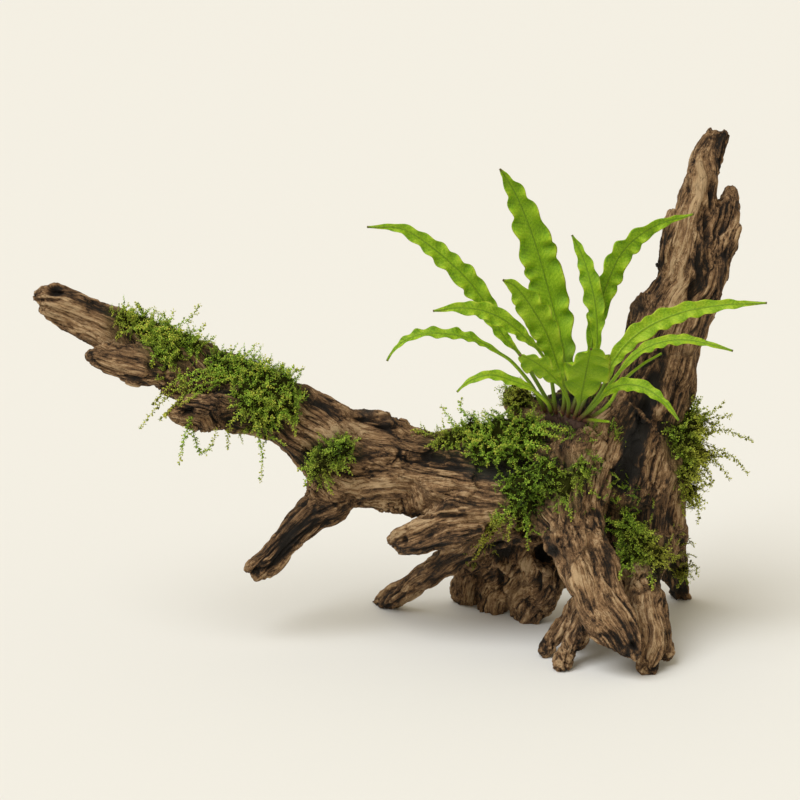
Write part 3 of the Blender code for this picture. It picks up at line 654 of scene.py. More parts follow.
skin_normals = points_of(wood_mesh, "normal")
facing = smoothstep(-0.1, 0.35, skin_normals @ TOWARDS_CAMERA)
skin_seen = as_seen(wood_points)
# the marks: stains and painted shade darken the wood that faces the front, and worn wood with painted
# highlights is lighter
stain = sum(facing * mark[4] * bell(skin_seen, mark) for mark in STAIN_AND_PAINTED_LIGHT_MARKS)
worn_and_painted_highlight = np.clip(-stain, 0, 1)
height *= 1 - WORN_SMOOTHER * worn_and_painted_highlight
groove *= 1 - WORN_SHALLOWER * worn_and_painted_highlight
# the hollows are painted dark: painted shade
hole_painted_shade = np.zeros(len(wood_points))
for mark in HOLLOWS:
    shape = facing * smoothstep(0.1, 0.75, bell(skin_seen, mark))
    height -= mark[4] * shape
    hole_painted_shade = np.maximum(hole_painted_shade, shape * (HOLE_PAINTED_SHADE if mark[4] > 0 else 0.0))
for mark in TRIMS:
    height -= mark[4] * bell(skin_seen, mark)
knobs = noise_at(wood_points / MM, KNOB_CELL, 35)
for mark in KNOBBY:
    height += mark[4] * knobs * bell(skin_seen, mark)
stain += sum(strength * noise_at(wood_points / MM, cell, seed) for cell, strength, seed in BLOTCHES)
print("stains from", round(float(stain.min()), 2), "to", round(float(stain.max()), 2))

# %% [markdown]
# ## Driftwood: carry the relief out
# The relief is now carried out along the normals. The feet stay flat on the ground: nothing may go below
# it. One mesh of all the wood would pass the limit on triangles, so it is cut in two closed pieces, along a
# line that the moss on the crown hides. Each piece is thinned to at most PIECE_TRIANGLES triangles, which
# takes points from smooth faces first and leaves the cracks sharp. What was worked out for each point, such
# as its place in the grain, stays with the points as attributes.

# %% Finish the driftwood's two meshes
PIECE_TRIANGLES = 192000
CAD_MARGIN = 1.0 * MM
# a point in the picture that the cut runs through, and the direction square to the cut, towards the roots
CUT_THROUGH = (-2.5, 78.5)
CUT_ACROSS = (0.738, -0.674)
SEAM_OVERLAP = 0.4

relieved = wood_points + skin_normals * (height * MM)[:, None]
low = np.array(cad_low) - CAD_MARGIN * np.array((1, 1, 0))
relieved = np.clip(relieved, low, np.array(cad_high) + CAD_MARGIN)
move_points(wood_mesh, relieved)
moss_surface = surface_of(*(welded(name) for name in NODES if name.startswith("moss_")))
moss_near = 1 - smoothstep(1.0, 9.0, distances(relieved, moss_surface) / MM)
# the groove value keeps the dark cracks, partly the wood's own colour and partly painted shade, and the
# painted shade of the hollows
for name, values in (
    ("groove", np.maximum(groove, hole_painted_shade)), ("height", height), ("stain", stain), ("moss_near", moss_near),
    ("grain_first", grain_first * MM), ("grain_second", grain_second * MM), ("second_share", second_share),
):
    store(wood_mesh, name, values)


def closed_part(mesh, wanted):
    """The faces whose points are all wanted, as a closed mesh whose caps have sharp edges."""
    shape = bmesh.new()
    shape.from_mesh(mesh)
    shape.verts.ensure_lookup_table()
    bmesh.ops.delete(shape, geom=[shape.verts[i] for i in np.flatnonzero(~wanted)], context="VERTS")
    rim = [edge for edge in shape.edges if edge.is_boundary]
    for edge in rim:
        edge.smooth = False
    bmesh.ops.holes_fill(shape, edges=rim, sides=0)
    bmesh.ops.triangulate(shape, faces=shape.faces)
    part = bpy.data.meshes.new("part")
    shape.to_mesh(part)
    shape.free()
    return part


def thinned(mesh):
    return with_modifiers(mesh, ("DECIMATE", {"ratio": min(1.0, PIECE_TRIANGLES / triangle_count(mesh))}))


beyond = sum((seen - through) * side for seen, through, side in zip(skin_seen, CUT_THROUGH, CUT_ACROSS))
wood_meshes = {
    "driftwood_arm": thinned(closed_part(wood_mesh, beyond < SEAM_OVERLAP)),
    "driftwood_base": thinned(closed_part(wood_mesh, beyond > -SEAM_OVERLAP)),
}
print("driftwood:", {name: triangle_count(mesh) for name, mesh in wood_meshes.items()})

# %% [markdown]
# ## A short way to write node trees
# Materials and Geometry Nodes are both built from nodes. One helper adds a node, sets its properties, and
# fills each input with a plain value or with another node's output.

# %% Helper for nodes


def node(tree, kind, inputs=None, **settings):
    made = tree.nodes.new(kind)
    for key, value in settings.items():
        setattr(made, key, value)
    for key, value in (inputs or {}).items():
        if isinstance(value, bpy.types.NodeSocket):
            tree.links.new(value, made.inputs[key])
        else:
            made.inputs[key].default_value = value
    return made


def math_of(tree, operation, *values):
    return node(tree, "ShaderNodeMath", dict(enumerate(values)), operation=operation).outputs[0]


def added(tree, value, other, weight):
    """The value plus another times a weight."""
    values = {0: other, 1: weight, 2: value}
    return node(tree, "ShaderNodeMath", values, operation="MULTIPLY_ADD").outputs[0]


def weighted_sum(tree, total, *terms):
    """A number plus each value times its weight, from terms of (value, weight)."""
    for value, weight in terms:
        total = added(tree, total, value, weight)
    return total


def speckle(tree, scale, detail, roughness=0.5):
    """Noise through space, about a half on average, with this many humps to the metre."""
    values = {"Scale": scale, "Detail": detail, "Roughness": roughness}
    return node(tree, "ShaderNodeTexNoise", values).outputs[0]


def ranged(tree, value, low, high, at_low=0.0, at_high=1.0):
    """One number where the value is low, another where it is high, and a straight line between."""
    values = {"Value": value, 1: low, 2: high, 3: at_low, 4: at_high}
    return node(tree, "ShaderNodeMapRange", values).outputs[0]


def ramp(tree, value, *stops):
    """A colour for each value, from stops of (value, (red, green, blue))."""
    made = node(tree, "ShaderNodeValToRGB", {"Fac": value})
    elements = made.color_ramp.elements
    while len(elements) < len(stops):
        elements.new(0.5)
    for element, (position, colour) in zip(elements, stops):
        element.position = position
        element.color = (*colour, 1)
    return made.outputs["Color"]


def mixed(tree, share, first, second, blend="MIX"):
    """One colour turned towards another by a share."""
    made = node(tree, "ShaderNodeMix", {0: share}, data_type="RGBA", blend_type=blend)
    for socket, value in ((made.inputs[6], first), (made.inputs[7], second)):
        if isinstance(value, bpy.types.NodeSocket):
            tree.links.new(value, socket)
        else:
            socket.default_value = (*value, 1)
    return made.outputs[2]


def group(name, inputs, outputs):
    """A new shader node group with these named sockets, its tree, and the outputs of its input node."""
    tree = bpy.data.node_groups.new(name, "ShaderNodeTree")
    for label, kind, value in inputs:
        socket = tree.interface.new_socket(label, in_out="INPUT", socket_type=kind)
        if value is not None:
            socket.default_value = value
    for label, kind in outputs:
        tree.interface.new_socket(label, in_out="OUTPUT", socket_type=kind)
    return tree, tree.nodes.new("NodeGroupInput").outputs


def new_material(name):
    made = bpy.data.materials.new(name)
    made.use_nodes = True
    return made, made.node_tree, made.node_tree.nodes["Principled BSDF"]


def attribute(tree, name, output="Fac"):
    return node(tree, "ShaderNodeAttribute", attribute_name=name).outputs[output]


# %% [markdown]
# ## Finish: fibres of weathered wood
# Close up, the wood is bundles of fibres, thinner than the mesh can hold. The group below makes them from
# noise that is many times longer along the grain than across it, hairline splits from a wider noise, and
# light and dark streaks from a much wider one. It is one group with named inputs, because the driftwood
# places it twice, once for each limb that a point belongs to.

# %% Node group for wood fibres
FIBRE_WIDTH = 0.0008
FIBRE_STRETCH = 0.055

fibres, fibres_in = group(
    "wood fibres",
    [
        ("Grain", "NodeSocketVector", None), ("Fibre width", "NodeSocketFloat", FIBRE_WIDTH),
        ("Stretch", "NodeSocketFloat", FIBRE_STRETCH),
    ],
    [("Height", "NodeSocketFloat"), ("Split", "NodeSocketFloat"), ("Streak", "NodeSocketFloat")],
)
squeeze = node(fibres, "ShaderNodeCombineXYZ", {0: 1.0, 1: 1.0, 2: fibres_in["Stretch"]}).outputs[0]
along_grain = node(
    fibres, "ShaderNodeVectorMath", {0: fibres_in["Grain"], 1: squeeze}, operation="MULTIPLY"
).outputs[0]
per_fibre = math_of(fibres, "DIVIDE", 1.0, fibres_in["Fibre width"])


def grain_noise(scale, roughness, distortion):
    """Noise stretched along the grain."""
    return node(fibres, "ShaderNodeTexNoise", {
        "Vector": along_grain, "Scale": scale, "Detail": 3.0, "Roughness": roughness,
        "Distortion": distortion,
    }).outputs[0]


fine = grain_noise(per_fibre, 0.65, 0.4)
wide = grain_noise(math_of(fibres, "MULTIPLY", per_fibre, 0.36), 0.55, 0.5)
ridge = math_of(fibres, "ABSOLUTE", math_of(fibres, "SUBTRACT", wide, 0.5))
split = ranged(fibres, ridge, 0.0, 0.03, 1.0, 0.0)
streak = grain_noise(math_of(fibres, "MULTIPLY", per_fibre, 0.11), 0.5, 0.6)
fine_share = math_of(fibres, "MULTIPLY", fine, 0.6)
wide_share = math_of(fibres, "MULTIPLY", wide, 0.4)
fibre_height = math_of(fibres, "ADD", fine_share, wide_share)
node(fibres, "NodeGroupOutput", {"Height": fibre_height, "Split": split, "Streak": streak})
print("group:", fibres.name, [s.name for s in fibres.interface.items_tree])

# %% [markdown]
# ## Finish: driftwood
# The colour follows the relief: nearly black in the cracks and hollows, dark brown in the furrows, partly
# the wood's own dark cracks and partly painted shade, mid brown on most of the wood and tan where the
# standing fibres are worn. The dark marks shift the whole scale darker and greyer, partly as stains and
# partly as painted shade, and the pale marks lighter, partly as wear and partly as painted highlights. The
# wood is tinted green where moss is near. The wood is dry and matt, a little smoother where it is dark.

# %% Driftwood material
NEARLY_BLACK = (0.014, 0.010, 0.006)
DARK_BROWN = (0.054, 0.029, 0.012)
MID_BROWN = (0.200, 0.110, 0.050)
TAN = (0.385, 0.232, 0.110)
PALE_TAN = (0.600, 0.420, 0.235)
# grey of the darkest marks: partly wet wood, partly painted shade
WET_AND_SHADED_GREY = (0.034, 0.034, 0.032)
GREY_BROWN = (0.120, 0.092, 0.070)
MOSS_STAIN = (0.055, 0.062, 0.012)

wood_finish, tree, shader = new_material("driftwood")
fibre_sets = [
    node(tree, "ShaderNodeGroup", {"Grain": attribute(tree, name, "Vector")}, node_tree=fibres)
    for name in ("grain_first", "grain_second")
]
second = attribute(tree, "second_share")


def across_limbs(output):
    """A value of the fibre group, blended between the two limbs."""
    on_first, on_second = (fibre_set.outputs[output] for fibre_set in fibre_sets)
    return node(tree, "ShaderNodeMix", {0: second, 2: on_first, 3: on_second}).outputs[0]


fibre, splits, streaks = (across_limbs(output) for output in ("Height", "Split", "Streak"))
stain_and_painted_light_value = attribute(tree, "stain")
crumbs = speckle(tree, 420.0, 4.0, 0.7)
patches = speckle(tree, 70.0, 4.0, 0.65)
# the marks add stains and painted shade, and make worn wood with painted highlights lighter
tone = weighted_sum(
    tree, -1.97, (fibre, 2.0), (streaks, 1.35), (crumbs, 0.80), (patches, 1.0),
    (attribute(tree, "height"), 0.09), (attribute(tree, "groove"), -0.50), (splits, -0.30), (stain_and_painted_light_value, -0.34),
)
wood_colour = ramp(
    tree, tone, (0.02, NEARLY_BLACK), (0.22, DARK_BROWN), (0.47, MID_BROWN), (0.70, TAN), (0.95, PALE_TAN)
)
weathered = ranged(tree, speckle(tree, 46.0, 3.0, 0.6), 0.45, 0.65, 0.0, 0.25)
wood_colour = mixed(tree, weathered, wood_colour, mixed(tree, 0.7, wood_colour, GREY_BROWN, "SOFT_LIGHT"))
# the darkest marks turn grey, partly as wet wood and partly as painted shade
wet_and_shaded_greyness = ranged(tree, stain_and_painted_light_value, 0.5, 1.2, 0.0, 0.55)
wood_colour = mixed(tree, wet_and_shaded_greyness, wood_colour, WET_AND_SHADED_GREY)
mossy = math_of(tree, "MULTIPLY", attribute(tree, "moss_near"), 0.5)
wood_colour = mixed(tree, mossy, wood_colour, mixed(tree, 0.7, wood_colour, MOSS_STAIN))
tree.links.new(wood_colour, shader.inputs["Base Color"])
tree.links.new(ranged(tree, tone, 0.1, 0.8, 0.66, 0.92), shader.inputs["Roughness"])
bump_height = weighted_sum(tree, 0.0, (fibre, 1.0), (splits, -0.30), (crumbs, 0.55))
bump = node(tree, "ShaderNodeBump", {"Height": bump_height, "Strength": 1.0, "Distance": 0.0020})
tree.links.new(bump.outputs[0], shader.inputs["Normal"])
shader.inputs["Specular IOR Level"].default_value = 0.3

ARM_NODES = [name for name in WOOD_NODES if name.startswith("wood_arm")]
BASE_NODES = [name for name in WOOD_NODES if name not in ARM_NODES]
for mesh in wood_meshes.values():
    mesh.materials.clear()
    mesh.materials.append(wood_finish)
add_piece("driftwood_arm", wood_meshes["driftwood_arm"], "driftwood", *ARM_NODES)
add_piece("driftwood_base", wood_meshes["driftwood_base"], "driftwood", *BASE_NODES)

# %% [markdown]
# ## Fronds: read their course from the frame
# A frond in the frame is a thin tube with six corners at each station, from the foot of its stalk to its
# tip. The stations can be walked ring by ring: the six corners nearest the rhizome are the first ring, and
# the neighbours of a ring that were not met before are the next one. Each wide ring gives the midrib and
# the two edges of the blade, so the leaf keeps the course and the turn of its solid.

# %% Walk the rings of a frond
CORNERS = 6
WIDE_RING = 3.2 * MM
STALK_FULLNESS = 0.86
rhizome_surface = surface_of(welded("rhizome"))


def rings_of(node_name):
    """The corners of each ring of a frond, from foot to tip."""
    shape = bmesh.new()
    shape.from_mesh(welded(node_name))
    foot = min(shape.verts, key=lambda v: rhizome_surface.find_nearest(v.co)[3])
    ring = sorted(shape.verts, key=lambda v: (v.co - foot.co).length)[:CORNERS]
    rings, met = [], set(ring)
    while ring:
        rings.append(np.array([v.co for v in ring]))
        ring = list({e.other_vert(v) for v in ring for e in v.link_edges} - met)
        met.update(ring)
    shape.free()
    return rings


def course_of(node_name):
    """At each station: the midrib, and the vectors from it to the left and right edge."""
    rings = rings_of(node_name)
    middles = np.array([ring.mean(axis=0) for ring in rings])
    along = np.gradient(middles, axis=0)
    spans = [max(np.linalg.norm(ring - ring[:, None], axis=2).ravel()) for ring in rings]
    widest = int(np.argmax(spans))
    across = [None] * len(rings)
    order = [*range(widest, -1, -1), *range(widest + 1, len(rings))]
    for i in order:
        ring = rings[i]
        before = None if i == widest else across[i + 1 if i < widest else i - 1]
        pairs = ring - ring[:, None]
        far = np.unravel_index(np.argmax(np.linalg.norm(pairs, axis=2)), (len(ring), len(ring)))
        direction = pairs[far] if spans[i] > WIDE_RING or before is None else before
        tangent = along[i] / np.linalg.norm(along[i])
        direction = direction - tangent * (direction @ tangent)
        direction /= np.linalg.norm(direction)
        reference = before if before is not None else np.array((1.0, 0, 0))
        across[i] = direction if direction @ reference > 0 else -direction
    lefts, rights = [], []
    for i, ring in enumerate(rings):
        ordered = ring[np.argsort((ring - middles[i]) @ across[i])]
        if spans[i] > WIDE_RING:
            middles[i] = ordered[2:4].mean(axis=0)
            left, right = ordered[:2].mean(axis=0), ordered[4:].mean(axis=0)
        else:
            half = spans[i] / 2
            left, right = (middles[i] + side * across[i] * half * STALK_FULLNESS for side in (-1, 1))
        lefts.append(left - middles[i])
        rights.append(right - middles[i])
    return middles, np.array(lefts), np.array(rights)


FRONDS = sorted(name for name in NODES if name.startswith("frond_"))
courses = {name: course_of(name) for name in FRONDS}
print("fronds:", {name[6:]: len(course[0]) for name, course in courses.items()})

# %% [markdown]
# ## Fronds: a thin leaf along each course
# A curve through the stations gives as many sections as needed. A section is round where the frond is only
# stalk, and opens into a thin blade with a raised midrib. The blade bends out of its plane only towards the
# edge, which is what makes a ruffle, and it puffs up a little between its side veins. A narrow leaf has
# shorter ruffles than a broad one. A leaf is a little narrower than its solid's ribbon, apart from the two
# broad ones in front, which are slightly wider.

# %% Build the leaves
SECTION_STEP = 0.85 * MM
COLUMNS = 10
RIB_COLUMNS = 3
STALK_RADIUS = 1.10
STALK_TAPER = 0.45
RIB_RADIUS = 0.60
RIB_TAPER = 0.6
# how much of its ribbon's width a blade has
BLADE_SHARE = 0.87
BROAD_BLADES = {"frond_front_right": 1.08, "frond_front_left": 1.06}
# half widths, in stalk radii, between which the stalk opens into a blade
OPENING = (1.5, 3.2)
BLADE_HALF_THICKNESS = 0.16
# the least half width of a section, as a share of the stalk's radius
LEAST_HALF_WIDTH = 0.95
FOLD_POWER = 1.7
SHORTEST_RUFFLE = 7.0
RUFFLE_PER_WIDTH = 0.22
RUFFLE_HEIGHT = 0.25
# the ruffles wander along the leaf, over about this many millimetres, and the two edges differ
RUFFLE_WANDER = 2.6
WANDER_LENGTH = 15.0
EDGE_SHIFT = 1.3
EDGE_ROW = 0.37
CREST_SHIFT = 0.6
# how deep an edge is scalloped, in millimetres, and at most as a share of the half width
SCALLOP_DEPTH = 0.75
SCALLOP_MOST = 0.13
VEIN_SPACING = 2.3
VEIN_PUFF = 0.12
VEIN_SLANT = 0.75
# over how many sections the width and the turn of a leaf are evened
WIDTH_WINDOW = 5
TURN_WINDOW = 9
# each leaf has a number of its own between 0 and 1
LEAF_NUMBER_STEP = 0.618


def through_points(values, count):
    """A smooth curve through rows of values, as count rows (Catmull-Rom)."""
    where = np.linspace(0, len(values) - 1, count)
    i = np.minimum(where.astype(int), len(values) - 2)
    t = (where - i)[:, None]
    a, b, c, d = (values[np.clip(i + k, 0, len(values) - 1)] for k in (-1, 0, 1, 2))
    square, cube = 2 * a - 5 * b + 4 * c - d, 3 * b - a - 3 * c + d
    return 0.5 * (2 * b + (c - a) * t + square * t**2 + cube * t**3)


def evened(values, window):
    """The values averaged along the leaf over a window of sections."""
    padded = np.pad(values, window // 2, mode="edge")
    return np.convolve(padded, np.ones(window) / window, mode="valid")[: len(values)]


def half_section(sign, in_plane, out, along, number, blade_share):
    """Of one half of each section: places across, lifts and half thicknesses in mm, and ruffle crests."""
    share = (along / along[-1])[:, None]
    stalk = STALK_RADIUS * (1 - STALK_TAPER * share)
    ruffle_length = SHORTEST_RUFFLE + RUFFLE_PER_WIDTH * 2 * in_plane.max()
    window = round(ruffle_length * MM / SECTION_STEP) | 1
    opened = smoothstep(*OPENING, evened(in_plane, WIDTH_WINDOW)[:, None] / stalk)
    even_width = evened(in_plane, window // 2 | 1)[:, None] * (1 - opened * (1 - blade_share))
    own_row = np.full(len(along), number + EDGE_ROW * sign)
    wander = noise_at(np.column_stack([along / WANDER_LENGTH, own_row, np.zeros(len(along))]), 1.0, 41)
    wave = along[:, None] / ruffle_length * math.tau + EDGE_SHIFT * sign
    wave = wave + RUFFLE_WANDER * wander[:, None] + number
    scallop = opened * np.minimum(SCALLOP_DEPTH, SCALLOP_MOST * even_width)
    half = np.maximum(even_width + scallop * np.sin(wave), stalk * LEAST_HALF_WIDTH)
    # the crests of the ruffles: they lift the edge, and the leaf's colour is painted lighter on them and
    # darker in the troughs
    crest_lift_and_light = opened * np.cos(wave + CREST_SHIFT)
    lift_at_edge = evened(out, window)[:, None] + RUFFLE_HEIGHT * even_width * crest_lift_and_light
    rib = (1 - opened) * np.minimum(stalk, half) + opened * RIB_RADIUS * (1 - RIB_TAPER * share)
    rib = np.minimum(rib, half)
    k = np.arange(COLUMNS + 1)[None, :]
    on_stalk = half * np.sin(math.pi / 2 * k / COLUMNS)
    on_blade = rib * np.sin(math.pi / 2 * np.minimum(k / RIB_COLUMNS, 1))
    on_blade = on_blade + (half - rib) * np.maximum(0, (k - RIB_COLUMNS) / (COLUMNS - RIB_COLUMNS))
    places = (1 - opened) * on_stalk + opened * on_blade
    towards_edge = places / half
    vein = (along[:, None] - places * VEIN_SLANT) / VEIN_SPACING * math.tau
    puff = VEIN_PUFF * opened * np.sin(vein) * np.minimum(1, places / 3) * (1 - towards_edge**4)
    lift = lift_at_edge * towards_edge**FOLD_POWER * opened + puff
    round_part = rib * np.sqrt(np.clip(1 - (places / rib) ** 2, 0, 1))
    flat_part = opened * BLADE_HALF_THICKNESS * np.sqrt(np.clip(1 - towards_edge**6, 0, 1))
    thick = np.maximum(round_part, flat_part)
    thick[:, -1] = 0
    return sign * places, lift, thick, crest_lift_and_light * towards_edge


def leaf_mesh(name, number):
    """One leaf as a closed mesh, which keeps for each point where on the leaf it is."""
    middles, lefts, rights = courses[name]
    length = np.linalg.norm(np.diff(middles, axis=0), axis=1).sum()
    count = max(24, round(length / SECTION_STEP))
    middle, left, right = (through_points(v, count) for v in (middles, lefts, rights))
    along = np.concatenate([[0], np.linalg.norm(np.diff(middle, axis=0), axis=1).cumsum()]) / MM
    tangent = np.gradient(middle, axis=0)
    tangent /= np.linalg.norm(tangent, axis=1)[:, None]
    across = right / np.linalg.norm(right, axis=1)[:, None] - left / np.linalg.norm(left, axis=1)[:, None]
    across = np.column_stack([evened(across[:, axis], TURN_WINDOW) for axis in range(3)])
    across -= tangent * np.einsum("ij,ij->i", across, tangent)[:, None]
    across /= np.linalg.norm(across, axis=1)[:, None]
    face = np.cross(across, tangent)
    blade_share = BROAD_BLADES.get(name, BLADE_SHARE)
    sides = []
    for sign, edge in ((-1, left), (1, right)):
        in_plane = np.abs(np.einsum("ij,ij->i", edge, across)) / MM
        out = np.einsum("ij,ij->i", edge, face) / MM
        sides.append(half_section(sign, in_plane, out, along, number, blade_share))
    (xl, yl, tl, cl), (xr, yr, tr, cr) = sides
    x = np.hstack([xl[:, ::-1], xr[:, 1:], xr[:, -2::-1], xl[:, 1:-1]])
    y = np.hstack([(yl + tl)[:, ::-1], (yr + tr)[:, 1:], (yr - tr)[:, -2::-1], (yl - tl)[:, 1:-1]])
    crest_lift_and_light = np.hstack([cl[:, ::-1], cr[:, 1:], cr[:, -2::-1], cl[:, 1:-1]])
    points = middle[:, None] + (x[:, :, None] * across[:, None] + y[:, :, None] * face[:, None]) * MM
    around = x.shape[1]
    ring = np.arange(around)
    quads = np.stack([ring, np.roll(ring, -1), np.roll(ring, -1) + around, ring + around], axis=1)
    faces = (np.arange(count - 1)[:, None, None] * around + quads).reshape(-1, 4).tolist()
    faces += [ring[::-1].tolist(), (ring + (count - 1) * around).tolist()]
    mesh = bpy.data.meshes.new(name)
    mesh.from_pydata(points.reshape(-1, 3).tolist(), [], faces)
    store(mesh, "across", x.ravel() * MM)
    # kept for painted light on the crests and painted shade in the troughs
    store(mesh, "crest_lift_and_light", crest_lift_and_light.ravel())
    store(mesh, "along", np.repeat(along, around) * MM)
    store(mesh, "share", np.repeat(along / along[-1], around))
    store(mesh, "edge", (np.abs(x) / np.abs(x).max(axis=1)[:, None]).ravel())
    store(mesh, "leaf", np.full(x.size, (number * LEAF_NUMBER_STEP) % 1.0))
    shape = bmesh.new()
    shape.from_mesh(mesh)
    bmesh.ops.recalc_face_normals(shape, faces=shape.faces)
    shape.to_mesh(mesh)
    shape.free()
    return mesh


leaf_meshes = {name: leaf_mesh(name, number) for number, name in enumerate(FRONDS)}
print("leaves:", sum(triangle_count(mesh) for mesh in leaf_meshes.values()), "triangles")

# %% [markdown]
# ## Finish: fern leaf
# The blade is a fresh yellow-green, lighter between its side veins and towards the edge, with a thin dark
# midrib. The crests of its ruffles are painted lighter and their troughs painted darker, as painted light and
# shade. The stalk is green, and turns reddish brown at its foot. Light passes through a leaf, so some of it
# is scattered under the surface, and a soft gloss lies on top.

# %% Leaf material
LEAF_DEEP = (0.085, 0.180, 0.002)
LEAF_GREEN = (0.205, 0.345, 0.003)
LEAF_BRIGHT = (0.380, 0.510, 0.030)
RIB_GREEN = (0.060, 0.130, 0.010)
STALK_GREEN = (0.120, 0.200, 0.015)
STALK_BROWN = (0.075, 0.026, 0.012)
TIP_BROWN = (0.100, 0.060, 0.025)

leaf_finish, tree, shader = new_material("fern leaf")
across_mm = math_of(tree, "MULTIPLY", math_of(tree, "ABSOLUTE", attribute(tree, "across")), 1000.0)
along_mm = math_of(tree, "MULTIPLY", attribute(tree, "along"), 1000.0)
slanted = math_of(tree, "SUBTRACT", along_mm, math_of(tree, "MULTIPLY", across_mm, VEIN_SLANT))
slanted = added(tree, slanted, speckle(tree, 240.0, 2.0), 1.8)
vein_wave = math_of(tree, "SINE", math_of(tree, "MULTIPLY", slanted, math.tau / VEIN_SPACING))
vein = math_of(tree, "POWER", math_of(tree, "MULTIPLY_ADD", vein_wave, 0.5, 0.5), 4.0)
blotches = speckle(tree, 210.0, 3.0, 0.6)
broad = speckle(tree, 70.0, 1.0)
fine_mottle = speckle(tree, 1100.0, 2.0)
rim = ranged(tree, attribute(tree, "edge"), 0.86, 1.0, 0.0, 0.22)
# the crest value paints light on the crests of the ruffles and shade in their troughs
leaf_tone = weighted_sum(
    tree, -0.42, (blotches, 0.85), (broad, 0.70), (fine_mottle, 0.25), (vein, -0.07),
    (attribute(tree, "leaf"), 0.12), (attribute(tree, "crest_lift_and_light"), 0.24), (rim, 1.0),
)
leaf_colour = ramp(tree, leaf_tone, (0.15, LEAF_DEEP), (0.5, LEAF_GREEN), (0.85, LEAF_BRIGHT))
share = attribute(tree, "share")
for place_on_leaf, colour in (
    (ranged(tree, across_mm, 0.12, 0.42, 0.55, 0.0), RIB_GREEN),
    (ranged(tree, share, 0.16, 0.30, 0.85, 0.0), STALK_GREEN),
    (ranged(tree, along_mm, 1.5, 10.0, 1.0, 0.0), STALK_BROWN),
    (ranged(tree, share, 0.988, 1.0), TIP_BROWN),
):
    leaf_colour = mixed(tree, place_on_leaf, leaf_colour, colour)
tree.links.new(leaf_colour, shader.inputs["Base Color"])
tree.links.new(ranged(tree, fine_mottle, 0.0, 1.0, 0.42, 0.60), shader.inputs["Roughness"])
shader.inputs["Subsurface Weight"].default_value = 0.35
shader.inputs["Subsurface Radius"].default_value = (0.6, 1.0, 0.15)
shader.inputs["Subsurface Scale"].default_value = 0.0012
shader.inputs["Specular IOR Level"].default_value = 0.25
leaf_bump_height = weighted_sum(tree, 0.0, (vein, 1.0), (fine_mottle, 0.7))
leaf_bump = node(tree, "ShaderNodeBump", {"Height": leaf_bump_height, "Strength": 0.35, "Distance": 0.0004})
tree.links.new(leaf_bump.outputs[0], shader.inputs["Normal"])

for name, mesh in leaf_meshes.items():
    mesh.materials.append(leaf_finish)
    add_piece(name.replace("frond_", "leaf_"), mesh, "fern_frond", name)

# %% [markdown]
# ## Trees that make tubes
# The rest of the plants is thin lines with things along them, and Geometry Nodes are made for that. The
# first tree turns every line of a mesh into a tapered tube of three sides. It is built once, used as it is
# for the fern's rootlets, and put as a group inside the tree for moss shoots.

# %% Helpers for Geometry Nodes, and the tree for tapered tubes


def new_tree(name, inputs):
    """A Geometry Nodes tree with these named inputs, and the outputs of its input node."""
    made = bpy.data.node_groups.new(name, "GeometryNodeTree")
    made.interface.new_socket("Geometry", in_out="INPUT", socket_type="NodeSocketGeometry")
    made.interface.new_socket("Geometry", in_out="OUTPUT", socket_type="NodeSocketGeometry")
    for label, kind in inputs:
        made.interface.new_socket(label, in_out="INPUT", socket_type=kind)
    return made, made.nodes.new("NodeGroupInput").outputs


def through_tree(mesh, made, values):
    """The mesh after a Geometry Nodes tree, with its inputs set, as a plain mesh."""
    obj = bpy.data.objects.new("growing", mesh)
    bpy.context.scene.collection.objects.link(obj)
    modifier = obj.modifiers.new("grow", "NODES")
    modifier.node_group = made
    for socket in made.interface.items_tree:
        if socket.in_out == "INPUT" and socket.name in values:
            modifier[socket.identifier] = values[socket.name]
    bpy.context.view_layer.update()
    result = bpy.data.meshes.new_from_object(obj.evaluated_get(bpy.context.evaluated_depsgraph_get()))
    bpy.data.objects.remove(obj)
    return result


def line_mesh(lines_of_points):
    """A mesh of open lines that keeps, as tip, how far along its line each point is."""
    mesh = bpy.data.meshes.new("lines")
    points = [tuple(p) for line in lines_of_points for p in line]
    starts = np.cumsum([0] + [len(line) for line in lines_of_points])
    edges = [(i, i + 1) for a, b in zip(starts, starts[1:]) for i in range(a, b - 1)]
    mesh.from_pydata(points, edges, [])
    store(mesh, "tip", np.concatenate([np.linspace(0, 1, len(line)) for line in lines_of_points]))
    return mesh


def named_value(tree, name):
    """The number that the mesh keeps under this name for each point."""
    return node(tree, "GeometryNodeInputNamedAttribute", {"Name": name}, data_type="FLOAT").outputs[0]


def chance_of(tree, seed, kind, low, high):
    """A random value of this kind for each point, between low and high."""
    first = {"FLOAT_VECTOR": 0, "FLOAT": 2, "INT": 4}[kind]
    values = {first: low, first + 1: high, "Seed": seed}
    return node(tree, "FunctionNodeRandomValue", values, data_type=kind).outputs[first // 2]


def turn_about(tree, axis, angle):
    return node(tree, "FunctionNodeAxisAngleToRotation", {"Axis": axis, "Angle": angle}).outputs[0]


def turned_further(tree, rotation, further):
    """The rotation with one more turn, about its own axes."""
    values = {"Rotation": rotation, "Rotate By": further}
    return node(tree, "FunctionNodeRotateRotation", values, rotation_space="LOCAL").outputs[0]


def send_out(tree, geometry, material):
    """Gives the geometry its material and makes it the result of the tree."""
    values = {"Geometry": geometry, "Material": material}
    finished = node(tree, "GeometryNodeSetMaterial", values).outputs[0]
    node(tree, "NodeGroupOutput", {"Geometry": finished})
    print("tree:", tree.name, len(tree.nodes), "nodes")


